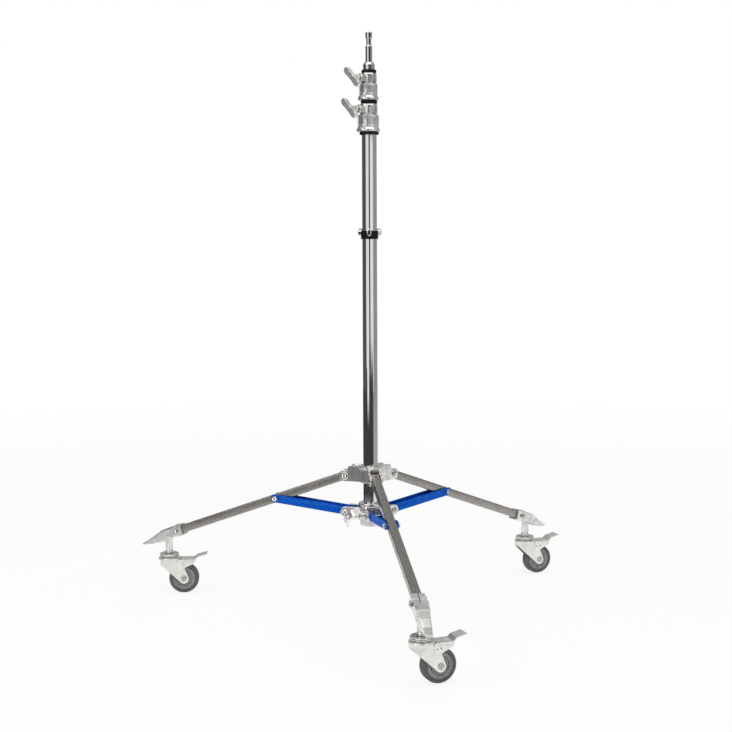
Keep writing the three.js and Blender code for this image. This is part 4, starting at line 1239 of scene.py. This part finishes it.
@dataclass
class Leg(Assembly):
    """One leg with its brace, its foot and their bolts; the place is the mast's foot, X outward."""

    name: str
    pivot: float
    slope: float = 20.36
    tube: float = 20.0
    wall: float = 1.6
    corner: float = 2.0
    reach: float = 517.0
    inner_end: float = 13.0
    socket_outer: float = 14.0
    pivot_reach: float = 62.0
    brace_half: float = 15.0
    socket_half: float = 15.0
    band_half: float = 16.7
    beak_half: float = 13.5

    NAMES = ("front", "right", "left")

    @staticmethod
    def direction(name: str) -> Vector:
        """Return the level direction that a leg points in."""
        hinge = joint(f"leg_fold_{name}")
        low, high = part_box("column")
        out = Vector(hinge["pos_m"]) - (low + high) / 2
        return Vector((out.x, out.y, 0)).normalized()

    @property
    def along(self) -> Matrix:
        """The leg's own frame: X down the tube from its pivot."""
        at = shift(self.pivot_reach, 0, self.pivot)
        return self.place @ at @ turned(self.slope, "Y")

    def build_tube(self) -> None:
        """Build the square tube with its rounded corners and open ends."""
        half, start, end = self.tube / 2, -self.inner_end, self.reach + self.socket_outer
        square = [(-half, -half), (half, -half), (half, half), (-half, half)]
        outer = rounded([(*p, self.corner) for p in square], 5)
        shrink = (half - self.wall) / half
        inner = [(x * shrink, y * shrink) for x, y in outer]
        count = len(outer)
        points, faces = [], []
        for x in (start, start + 0.4, end - 0.4, end):
            soft = 0.0 if start < x < end else 0.3
            points += [Vector((x, y * (1 - soft / half), z * (1 - soft / half))) for y, z in outer]
        for x in (start, end):
            points += [Vector((x, y, z)) for y, z in inner]
        rings = [list(range(count * at, count * (at + 1))) for at in range(6)]
        for low, high in ((0, 1), (1, 2), (2, 3), (3, 5), (5, 4), (4, 0)):
            for at in range(count):
                after = (at + 1) % count
                faces.append([rings[low][at], rings[low][after], rings[high][after], rings[high][at]])
        tube = mesh_object(f"leg_tube_{self.name}", points, faces)
        body = f"leg_{self.name}"
        self.hand_over(tube, LEG_STEEL, body, [body], self.along, smooth=25, own_frame=True)

    def build_bolts(self) -> None:
        """Build the brace's bolt and the foot's clamp bolt."""
        body = f"leg_{self.name}"
        brace = Bolt(self.brace_half, shank=4, head=7, height=4.5)
        where = self.along @ shift(BRACE_ON_LEG)
        self.fasten(f"brace_stud_{self.name}", brace, f"brace_bolt_{self.name}", body, where)
        clamp = Bolt(self.band_half, shank=3.5, head=6.5, height=4)
        where = self.along @ shift(self.reach - FOOT_BOLT_FROM_END)
        self.fasten(f"foot_stud_{self.name}", clamp, f"foot_bolt_{self.name}", body, where)

    def build_foot(self) -> None:
        """Build the foot's split socket, its band, its beak and the caster's boss."""
        tilt = math.radians(self.slope)
        stem = self.pivot_reach + self.reach * math.cos(tilt)
        level = self.pivot - self.reach * math.sin(tilt)

        def on_leg(distance: float, rise: float) -> tuple[float, float]:
            """Return a point's reach and height from its place along the leg."""
            return (
                self.pivot_reach + distance * math.cos(tilt) + rise * math.sin(tilt),
                self.pivot - distance * math.sin(tilt) + rise * math.cos(tilt),
            )

        half = self.tube / 2
        roof, floor, rear = half + 3.4, half + 5.5, half + 2.6
        start, end = self.reach - 45, self.reach + self.socket_outer
        socket = slab("socket", [
            (*on_leg(start, roof), 2), (*on_leg(start, -floor), 2), on_leg(self.reach - 20, -rear),
            on_leg(end + 5, -rear), on_leg(end, roof),
        ], -self.socket_half, self.socket_half)
        band = slab("band", [
            on_leg(self.reach - 31, roof + 1.7), on_leg(self.reach - 31, -half),
            on_leg(self.reach - 23, -half), on_leg(self.reach - 23, roof + 1.7),
        ], -self.band_half, self.band_half)
        beak_sides = [
            on_leg(end - 5, roof), on_leg(self.reach, -rear), (stem + 15, level - 22),
            (stem + 42, level - 28.5), (stem + 72.5, level - 34, 2.2), (stem + 72.5, level - 29.5, 2.2),
            (stem + 55, level - 20, 60), (stem + 35, level - 5.5, 60),
        ]
        beak = slab("beak", beak_sides, -self.beak_half, self.beak_half)
        taper = math.atan2(6, 52.5)
        trims = []
        for side in (1, -1):
            trim = brick("trim", (-6, 0, -10), (150, 30, level + 60))
            if side < 0:
                trim = moved(trim, MIRRORED)
                trim.data.flip_normals()
            lean = Matrix.Rotation(-taper * side, 4, "Z")
            trims.append(moved(trim, Matrix.Translation((stem + 20, side * self.beak_half, 0)) @ lean))
        cut(beak, trims)
        boss_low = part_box(f"foot_{self.name}")[0].z / MM
        boss = spun("boss", [
            (0, boss_low), (9.2, boss_low), (10, boss_low + 0.8), (10, boss_low + 5.6),
            (9.0, boss_low + 6.6), (9.0, boss_low + 8.6), (9.8, boss_low + 9.6), (9.8, level), (0, level),
        ], at=(stem, 0, 0), sides=48)
        casting = cast(f"foot_shell_{self.name}", [socket, band, beak, boss], grain=0.8, passes=3)
        lean = Matrix.Translation((self.pivot_reach, 0, self.pivot)) @ Matrix.Rotation(tilt, 4, "Y")
        hole = half + RUNNING_GAP
        cutters = [
            moved(brick("slit", (start - 6, -1.3, half), (start + 34, 1.3, roof + 6)), lean),
            moved(brick("tube_hole", (start - 6, -hole, -hole), (self.reach + 14.3, hole, hole)), lean),
            rod("stem_hole", 5.8, boss_low - 6, boss_low + 34, Axis.UP, (stem, 0, 0)),
        ]
        cut(casting, cutters)
        self.hand_over(casting, CASTING, f"leg_{self.name}", [f"foot_{self.name}"], smooth=CAST_SMOOTH)

    def build_brace(self) -> None:
        """Build the pressed channel that runs from the collar's pin to the leg."""
        hinge = joint(f"brace_turn_{self.name}")
        low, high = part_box(f"collar_pin_{self.name}")
        inner = (low + high) / 2
        outer = Vector(hinge["pos_m"])
        run = outer - inner
        length = run.length / MM
        rise = math.atan2(run.z, Vector((run.x, run.y)).length)
        half, wide, sheet, end, back = 10.0, self.brace_half, 2.0, 11.0, 26.0
        section = rounded([
            (-wide, half), (-wide, -half, 2.6), (wide, -half, 2.6), (wide, half), (wide - sheet, half),
            (wide - sheet, -half + sheet, 0.6), (-wide + sheet, -half + sheet, 0.6),
            (-wide + sheet, half),
        ], 5)
        count = len(section)
        points = [Vector((x, y, z)) for x in (-back, length + end) for y, z in section]
        faces = [list(range(count)), list(range(2 * count - 1, count - 1, -1))]
        faces += [[at, at + count, (at + 1) % count + count, (at + 1) % count] for at in range(count)]
        channel = mesh_object(f"brace_channel_{self.name}", points, faces)
        far = 40.0
        tip = rounded([
            (length + end, -half, half), (length + end, half, half), (length - 5, half),
            (length - 5, far), (length + far, far), (length + far, -far), (length - 5, -far),
            (length - 5, -half),
        ], 8)
        low_corner = (length - 14, -wide + sheet, -half - 5)
        across, down = self.pivot_reach - COLLAR_PIN_REACH, COLLAR_BELOW_PIVOT
        centre = (
            across * math.cos(rise) + down * math.sin(rise),
            down * math.cos(rise) - across * math.sin(rise),
        )
        swing = math.hypot(across, down)
        arc = []
        for radius, order in ((swing - 4.6, 1), (swing + 6.6, -1)):
            steps = []
            for degrees in range(-6, 30, 2):
                angle = math.radians(degrees)
                steps.append((centre[0] - radius * math.sin(angle), centre[1] - radius * math.cos(angle)))
            arc += steps[::order]
        mouth = slab("mouth", arc, -wide * 2, wide * 2)
        keep = brick("keep", (0, -wide * 3, -far * 2), (far * 2, wide * 3, far * 2))
        cutters = [
            slab("end", tip, -wide * 2, wide * 2),
            brick("web", low_corner, (length + far, wide - sheet, -half + sheet + 3)),
            cut(mouth, [keep]),
            rod("mouth_end", 5.3, -wide * 2, wide * 2, Axis.ACROSS),
            brick("lip", (-far * 2, -wide * 2, 3.2), (-14, wide * 2, half * 2)),
        ]
        eased(cut(channel, cutters), 0.35)
        place = Matrix.Translation(inner) @ facing(run) @ Matrix.Rotation(-rise, 4, "Y")
        self.hand_over(channel, BLUE, f"brace_{self.name}", [f"brace_{self.name}"], place, smooth=35)

    def build(self) -> None:
        """Build the leg's pieces."""
        self.build_tube()
        self.build_bolts()
        self.build_foot()
        self.build_brace()


# Casters.


@dataclass
class Caster(Assembly):
    """One swivelling, braked caster; the place is on the floor under its stem, X along the trail."""

    name: str
    wheel: float = 38.0
    tyre_width: float = 24.0
    tyre_depth: float = 10.5
    trail: float = 36.5
    over_wheel: float = 9.5
    cap_radius: float = 27.5
    cap_height: float = 9.0
    sheet: float = 2.5
    beside: float = 2.2

    @property
    def cap(self) -> float:
        """The height of the cap's underside."""
        return 2 * self.wheel + self.over_wheel

    @property
    def hub(self) -> Matrix:
        """The wheel's own frame, at its centre."""
        return self.place @ shift(self.trail, 0, self.wheel)

    @property
    def pedal_pin(self) -> Corner:
        """The middle of the pedal's pin, from the swivel."""
        return (27, 0, self.cap - 16.5)

    def build_stem(self) -> None:
        """Build the race plate and the stem above it."""
        low = self.cap + self.cap_height + RUNNING_GAP
        high, radius = low + 8.5, 24.2
        race = spun(f"race_{self.name}", [
            (0, low), (radius - 4.5, low), (radius - 4.0, low + 1.4), (radius - 0.7, low + 1.6),
            (radius, low + 2.3), (radius, low + 3.2), (radius - 0.6, low + 3.7),
            (radius - 2.4, low + 3.9), (radius - 2.4, low + 5.1), (radius - 0.6, low + 5.3),
            (radius, low + 5.8), (radius, high - 1.6), (radius - 0.9, high - 0.7), (radius - 2.8, high),
            (12.5, high), (11.8, high), (5.5, high), (5.5, high + 33), (4.8, high + 34), (0, high + 34),
        ], sides=96)
        self.hand_over(race, RACE, f"leg_{self.name}", [f"caster_stem_{self.name}"], smooth=35)

    def build_fork(self) -> None:
        """Build the pressed fork: a domed cap and two cheeks with their pressed marks."""
        inner = self.tyre_width / 2 + self.beside
        outer = inner + self.sheet
        cap, top, radius = self.cap, self.cap + self.cap_height, self.cap_radius
        back = -22.5
        dome = spun("dome", [
            (0, cap), (radius - 2.2, cap), (radius - 0.5, cap + 0.6), (radius, cap + 2.2),
            (radius, top - 3.6), (radius - 0.8, top - 2.1), (radius - 2.4, top - 1.5),
            (radius - 7, top - 1.3), (radius - 7.6, top), (0, top),
        ])
        cheek = [
            (back, cap + 2.5), (back, cap - 10.5, 6), (37, 20.5, 11), (50.5, 35, 11),
            (36.8, cap - 15.5, 11), (36.8, cap - 3.2), (17.5, cap), (17.5, cap + 2.5),
        ]
        parts = [dome, slab("cheek", cheek, inner, outer), slab("cheek", cheek, -outer, -inner)]
        for side in (1, -1):
            pad = spun("pad", [(0, 0), (9.2, 0), (9.2, 0.5), (8.3, 0.9), (0, 0.9)], Axis.ACROSS,
                       (self.trail, 0, self.wheel), 48)
            lift = Matrix.Translation((0, side * (outer - 0.55), 0))
            if side < 0:
                pad.data.flip_normals()
                lift = lift @ MIRRORED
            parts.append(moved(pad, lift))
        parts.append(brick("apron", (back, -outer, cap - 9), (back + self.sheet, outer, cap + 2)))
        fork = cast(f"fork_shell_{self.name}", parts, grain=0.65, passes=3)
        cutters = [
            rod("axle_hole", 4.8, -outer * 2, outer * 2, Axis.ACROSS, (self.trail, 0, self.wheel)),
            rod("pin_hole", 3.2, -outer * 2, outer * 2, Axis.ACROSS, self.pedal_pin),
        ]
        for side in (1, -1):
            near, far = sorted((side * (outer - 0.9), side * (outer + 3)))
            cutters.append(rod("mark", 1.7, near, far, Axis.ACROSS, (-8, 0, 75)))
            for angle in (60, 150, 240):
                place = (self.trail + 12.4 * math.cos(math.radians(angle)), 0,
                         self.wheel + 12.4 * math.sin(math.radians(angle)))
                cutters.append(rod("mark", 0.9, near, far, Axis.ACROSS, place))
        cut(fork, cutters)
        self.hand_over(fork, ZINC, f"caster_{self.name}", [f"fork_{self.name}"], smooth=CAST_SMOOTH)
        axle = Bolt(outer, shank=4.5, head=7.5, height=3)
        self.fasten(f"axle_{self.name}", axle, f"axle_bolt_{self.name}", f"caster_{self.name}", self.hub)

    def build_pedal(self) -> None:
        """Build the brake pedal: its cover, its skirts, its tread and its holes."""
        inner = self.tyre_width / 2 + self.beside + self.sheet + 0.6
        sheet, cap = 2.0, self.cap
        outer, top = inner + sheet, cap + 3
        skirt = [
            (22.3, cap - 21, 2), (35, cap - 21, 3), (62, cap - 8, 3), (66, top - 4), (66, top),
            (22.3, top, 2),
        ]
        cover = slab("cover", [(29, top - sheet), (66, top - sheet), (66, top), (29, top)], -outer, outer)
        tread = slab("tread", [
            (64, top - sheet), (66, top - sheet), (73, top + 7 - sheet), (96, top + 13 - sheet, 0.6),
            (96, top + 13, 0.6), (72, top + 7), (64, top),
        ], -17, 17)
        ridges = []
        for x in (77, 82, 87, 92):
            climb = (x - 72) * 0.25
            ridges.append(brick("ridge", (x, -14, top + 7 + climb - 0.6), (x + 1.6, 14, top + 7.5 + climb)))
        pins = [rod("pin", 3, near, far, Axis.ACROSS, self.pedal_pin)
                for near, far in ((inner - 3.8, outer), (-outer, 3.8 - inner))]
        parts = [cover, tread, slab("skirt", skirt, inner, outer), slab("skirt", skirt, -outer, -inner)]
        pedal = cast(f"pedal_shell_{self.name}", [*parts, *ridges, *pins], grain=0.6, passes=2)
        cutters = [rod("hole", 4.4, top - 6, top + 4, Axis.UP, (47.5 + step, 0, 0)) for step in (-11, 11)]
        slope = math.atan2(1.7, 7)
        for side in (1, -1):
            near, far = sorted((0, 12 * side))
            trim = brick("trim", (-20, near, cap - 30), (0, far, top + 10))
            lean = Matrix.Translation((29.3, outer * side, 0)) @ Matrix.Rotation(slope * side, 4, "Z")
            cutters.append(moved(trim, lean))
            near, far = sorted((side * (inner - 4), side * (outer + 4)))
            for reach, height in ((27, cap - 9.5), (36, cap - 8.6)):
                cutters.append(rod("dot", 2.1, near, far, Axis.ACROSS, (reach, 0, height)))
            near, far = sorted((side * (outer - 1.2), side * (outer + 4)))
            cutters.append(brick("fold", (24.5, near, top - 6.2), (80, far, top - 4.4)))
        cut(pedal, cutters)
        self.hand_over(pedal, ZINC, f"pedal_{self.name}", [f"brake_pedal_{self.name}"], smooth=CAST_SMOOTH)

    def build_wheel(self) -> None:
        """Build the tyre and the moulded core with its rings."""
        wheel = self.wheel
        half, inner = self.tyre_width / 2, wheel - self.tyre_depth
        edge = [
            (inner, half), (wheel - 7.9, half), (wheel - 7.4, half - 1.1), (wheel - 6.6, half - 1.1),
            (wheel - 6.1, half), (wheel - 4, half), (wheel - 2.6, half - 0.5), (wheel - 1.3, half - 1.4),
            (wheel - 0.5, half - 2.6), (wheel, half - 4.2),
        ]
        tyre = even_ring(f"tyre_ring_{self.name}", edge, 128)
        body = f"wheel_{self.name}"
        self.hand_over(tyre, TYRE, body, [f"tyre_{self.name}"], self.hub)
        rim = inner - RUNNING_GAP
        face = [
            (4.8, 13.2), (9.4, 13.2), (10, 12.6), (10.4, 7.6), (12.4, 7.2), (13.0, 10.4), (14.4, 10.4),
            (15.0, 7.2), (16.8, 7.2), (17.4, 10.4), (18.8, 10.4), (19.4, 7.0), (21.4, 7.0), (21.9, 11.2),
            (22.6, 11.7), (23.8, 11.7), (24.1, 9.6), (25.1, 9.6), (25.4, 11.7), (rim - 0.8, 11.7),
            (rim, 11.2),
        ]
        core = even_ring(f"wheel_disc_{self.name}", face, 96)
        self.hand_over(core, NYLON, body, [f"wheel_core_{self.name}"], self.hub, smooth=35)

    def build(self) -> None:
        """Build the caster's pieces."""
        self.build_stem()
        self.build_fork()
        self.build_pedal()
        self.build_wheel()


# Studio.


@dataclass(frozen=True)
class View:
    """The photograph's camera: lengths in its picture in pixels, others in millimetres, turns in radians."""

    focal: float = 1375.4553
    distance: float = 3276.19
    height: float = 942.33
    aside: float = -12.786
    pitch: float = 0.1039
    roll: float = -0.0046
    turn: float = CAMERA_TURN
    centre: float = 364.81
    picture: float = 732.0
    sensor: float = 36.0
    far: float = 100.0

    def build(self, axis: Vector) -> None:
        """Create the camera and make it the scene's.

        Args:
            axis: The foot of the mast's axis.
        """
        lens = bpy.data.cameras.new("photo_camera")
        lens.sensor_width = self.sensor
        lens.lens = self.sensor * self.focal / self.picture
        lens.shift_x = (self.picture / 2 - self.centre) / self.picture
        lens.clip_end = self.far
        camera = linked("photo_camera", lens)
        to_stand = Matrix.Rotation(-self.turn, 4, "Z")
        right, ahead = Vector((1, 0, 0)), Vector((0, math.cos(self.pitch), -math.sin(self.pitch)))
        up = right.cross(ahead)
        level_right = right * math.cos(self.roll) + up * math.sin(self.roll)
        level_up = up * math.cos(self.roll) - right * math.sin(self.roll)
        turn = Matrix((level_right, level_up, -ahead)).transposed().to_4x4()
        place = Vector((self.aside, -self.distance, self.height)) * MM
        camera.matrix_world = Matrix.Translation(axis) @ to_stand @ Matrix.Translation(place) @ turn
        bpy.context.scene.camera = camera


@dataclass
class Studio:
    """A pale floor that runs into a white background, soft lamps and dark flags for the chrome."""

    axis: Vector
    turn: float = CAMERA_TURN
    floor_half: float = 14.0
    fade_start: float = 1.6
    fade_end: float = 4.2
    floor_drop: float = 0.0002
    floor_shade: float = 0.93
    floor_glow: float = 0.86
    surround_light: float = 0.5
    aim: float = 0.6
    card_step: float = 5.0

    def build_floor(self) -> None:
        """Build the floor, which keeps the stand's shadow and fades into the background."""
        half = self.floor_half / MM
        points = [Vector((x * half, y * half, 0)) for x, y in ((-1, -1), (1, -1), (1, 1), (-1, 1))]
        floor = mesh_object("studio_floor", points, [[0, 1, 2, 3]])
        floor.data.transform(Matrix.Translation((0, 0, -self.floor_drop)))
        material, nodes = new_material("studio_floor")
        shader = material.node_tree.nodes["Principled BSDF"]
        shader.inputs["Base Color"].default_value = (*[self.floor_shade] * 3, 1)
        shader.inputs["Roughness"].default_value = 0.7
        shader.inputs["Specular IOR Level"].default_value = 0.2
        glow = nodes.add("ShaderNodeEmission")
        place = nodes.add("ShaderNodeTexCoord")
        length = nodes.add("ShaderNodeVectorMath", operation="LENGTH")
        nodes.link(place.outputs["Object"], length.inputs[0])
        far = nodes.spread(length.outputs["Value"], self.fade_start, self.fade_end, (self.floor_glow, 1))
        blend = nodes.add("ShaderNodeMixShader")
        nodes.link(nodes.math("MULTIPLY", far, nodes.seen()), blend.inputs[0])
        nodes.link(shader.outputs[0], blend.inputs[1])
        nodes.link(glow.outputs[0], blend.inputs[2])
        nodes.link(blend.outputs[0], material.node_tree.nodes["Material Output"].inputs["Surface"])
        floor.data.materials.append(material)

    def build_world(self) -> None:
        """Build the white surround, dimmer for the light that it casts than for what sees it."""
        world = bpy.data.worlds.new("studio")
        world.use_nodes = True
        bpy.context.scene.world = world
        nodes = Nodes(world.node_tree)
        back = world.node_tree.nodes["Background"]
        back.inputs["Color"].default_value = (1, 1, 1, 1)
        nodes.link(nodes.spread(nodes.seen(), 0, 1, (self.surround_light, 1)), back.inputs["Strength"])

    def around(self, azimuth: float, distance: float, height: float) -> Vector:
        """Return a point round the stand; azimuth 0 is toward the camera and grows to its right."""
        angle = math.radians(azimuth - 90) - self.turn
        return self.axis + Vector((math.cos(angle) * distance, math.sin(angle) * distance, height))

    def aimed(self, name: str, data: bpy.types.ID, at: Vector) -> bpy.types.Object:
        """Place an object at a point so that it faces the mast."""
        made = linked(name, data)
        look = Vector((self.axis.x, self.axis.y, self.aim)) - at
        made.matrix_world = Matrix.Translation(at) @ look.to_track_quat("-Z", "Y").to_matrix().to_4x4()
        return made

    def build_lamps(self) -> None:
        """Build the soft lamps: one overhead, one on each side and a weak one behind."""
        for name, azimuth, distance, height, size, power, mirrored in (
            ("top_lamp", 0, 0.6, 3.6, 3.0, 42.0, False),
            ("left_lamp", -58, 3.4, 2.8, 1.8, 30.0, True),
            ("right_lamp", 50, 3.4, 2.8, 1.8, 17.0, True),
            ("back_lamp", 170, 3.2, 2.4, 2.0, 10.0, False),
        ):
            lamp = bpy.data.lights.new(name, "AREA")
            lamp.energy = power
            lamp.size = size
            self.aimed(name, lamp, self.around(azimuth, distance, height)).visible_glossy = mirrored

    def card(self, name: str, inner: Corner, outer: Corner, sweep: Corner, shades: Corner) -> None:
        """Build a curved card round the stand that only reflections see.

        Args:
            name: The card's name.
            inner: The distance and the height of its first edge, in metres.
            outer: The distance and the height of its second edge.
            sweep: The azimuths that it runs between, in degrees.
            shades: How light it is at each edge.
        """
        steps = max(2, round(abs(sweep[1] - sweep[0]) / self.card_step))
        points, faces = [], []
        for step in range(steps + 1):
            azimuth = sweep[0] + (sweep[1] - sweep[0]) * step / steps
            points += [tuple(self.around(azimuth, *edge)) for edge in (inner, outer)]
        for step in range(steps):
            first = 2 * step
            faces.append([first, first + 1, first + 3, first + 2])
        mesh = bpy.data.meshes.new(name)
        mesh.from_pydata(points, [], faces)
        card = linked(name, mesh)
        share = card.data.attributes.new("share", "FLOAT", "POINT")
        share.data.foreach_set("value", [0.0, 1.0] * (steps + 1))
        material, nodes = new_material(name)
        glow = nodes.add("ShaderNodeEmission")
        along = nodes.add("ShaderNodeAttribute", attribute_name="share")
        light, dark = ((shade,) * 3 for shade in shades)
        nodes.link(nodes.mix(along.outputs["Fac"], light, dark), glow.inputs["Color"])
        nodes.link(glow.outputs[0], material.node_tree.nodes["Material Output"].inputs["Surface"])
        card.data.materials.append(material)
        card.visible_camera = False
        card.visible_diffuse = False
        card.visible_shadow = False
        card.visible_transmission = False

    def build_cards(self) -> None:
        """Build the dark and grey cards that give the plated pieces their stripes."""
        near_floor, low, high = 0.004, -0.2, 5.0
        for name, inner, outer, sweep, shades in (
            ("left_flag", (4.4, low), (4.4, high), (-58, -150), (0.1, 0.1)),
            ("camera_flag", (5.6, low), (5.6, high), (-11, 8), (0.02, 0.02)),
            ("right_flag", (4.4, low), (4.4, high), (56, 150), (0.36, 0.36)),
            ("rear_card", (4.4, low), (4.4, high), (150, 210), (0.4, 0.4)),
            ("upper_flag", (5.0, 1.45), (5.0, 1.9), (8, 72), (0.45, 0.04)),
            ("upper_flag_top", (5.0, 1.9), (5.0, 4.0), (8, 72), (0.04, 0.04)),
            ("ceiling", (0.0, 3.9), (4.4, 3.9), (-180, 180), (0.5, 0.45)),
            ("ceiling_light", (0.0, 3.8), (3.4, 3.8), (-70, 70), (1.5, 1.5)),
            ("paper_edge", (0.9, near_floor), (1.45, near_floor), (-180, 48), (0.9, 0.06)),
            ("dark_floor", (1.45, near_floor), (3.1, near_floor), (-180, 48), (0.06, 0.06)),
            ("left_far_floor", (3.1, near_floor), (5.6, near_floor), (-180, -46), (0.06, 0.06)),
            ("light_floor", (3.1, near_floor), (4.2, near_floor), (-46, -18), (0.12, 1.0)),
            ("far_floor", (3.1, near_floor), (5.0, near_floor), (-18, 48), (0.06, 0.06)),
            ("far_floor_edge", (5.0, near_floor), (7.5, near_floor), (-18, 48), (0.06, 0.95)),
            ("grey_floor", (1.9, near_floor), (4.4, near_floor), (48, 180), (0.5, 0.36)),
        ):
            self.card(name, inner, outer, sweep, shades)

    def build(self) -> None:
        """Build the studio."""
        self.build_floor()
        self.build_world()
        self.build_lamps()
        self.build_cards()
        bpy.context.scene.view_settings.view_transform = "Standard"


# The stand.

HANDLE_SIDE = Vector(joint("lower_handle_turn")["axis"])


def build_castings(paints: Paintbox, mast: Matrix, pivot: float) -> None:
    """Build the castings on the mast and their handles.

    Args:
        paints: The finishes.
        mast: The mast's frame.
        pivot: The height of the legs' pivots, in millimetres.
    """
    toward = mast @ facing(HANDLE_SIDE)
    column_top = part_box("column")[1].z / MM
    riser_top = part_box("riser_1")[1].z / MM
    Clamp(
        paints, toward, "lower_clamp", "column", seat=column_top, tube=17.5, riser=15.0,
        grip_radius=24.0, grip_lean=3.0, head_radius=21.0, head_lean=1.6,
        skirt_radius=27.6, skirt_height=10.7, boss_reach=35.0,
    ).build()
    Clamp(
        paints, toward, "upper_clamp", "riser_1", seat=riser_top, tube=15.0, riser=12.5,
        grip_radius=20.6, grip_lean=2.5, head_radius=18.5, head_lean=0.6,
        skirt_radius=24.6, skirt_height=11.7, boss_reach=31.0,
    ).build()
    Hub(paints, mast, pivot).build()
    low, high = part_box("collar_pin_front")
    Collar(paints, mast, (low.z + high.z) / 2 / MM).build()
    for node, tip, boss, reach, tilt, swept, half in (
        ("lower_handle", 15.3, 35.0, 60.0, -42.0, False, 32.0),
        ("upper_handle", 12.8, 31.0, 51.0, -42.0, False, 32.0),
        ("collar_handle", 17.8, 39.0, 71.0, -48.0, True, 34.0),
    ):
        height = Vector((0, 0, joint(node + "_turn")["pos_m"][2]))
        place = Matrix.Translation(height) @ toward
        Handle(paints, place, node, tip, boss, reach, tilt, swept, half).build()


def main() -> None:
    """Build the stand, its studio and its camera."""
    logging.basicConfig(level=logging.INFO, format="%(message)s")
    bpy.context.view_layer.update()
    axis = mast_axis()
    mast = Matrix.Translation(axis)
    paints = Paintbox()
    pivot = joint("leg_fold_front")["pos_m"][2] / MM
    Mast(paints, mast).build()
    build_castings(paints, mast, pivot)
    for leg in Leg.NAMES:
        Leg(paints, mast @ facing(Leg.direction(leg)), leg, pivot).build()
        swivel = Vector(joint(f"caster_swivel_{leg}")["pos_m"])
        wheel = Vector(joint(f"wheel_spin_{leg}")["pos_m"])
        out = wheel - swivel
        foot = Matrix.Translation((swivel.x, swivel.y, 0)) @ facing(Vector((out.x, out.y, 0)))
        Caster(paints, foot, leg).build()
    Studio(axis).build()
    View().build(axis)


if __name__ == "__main__":
    main()
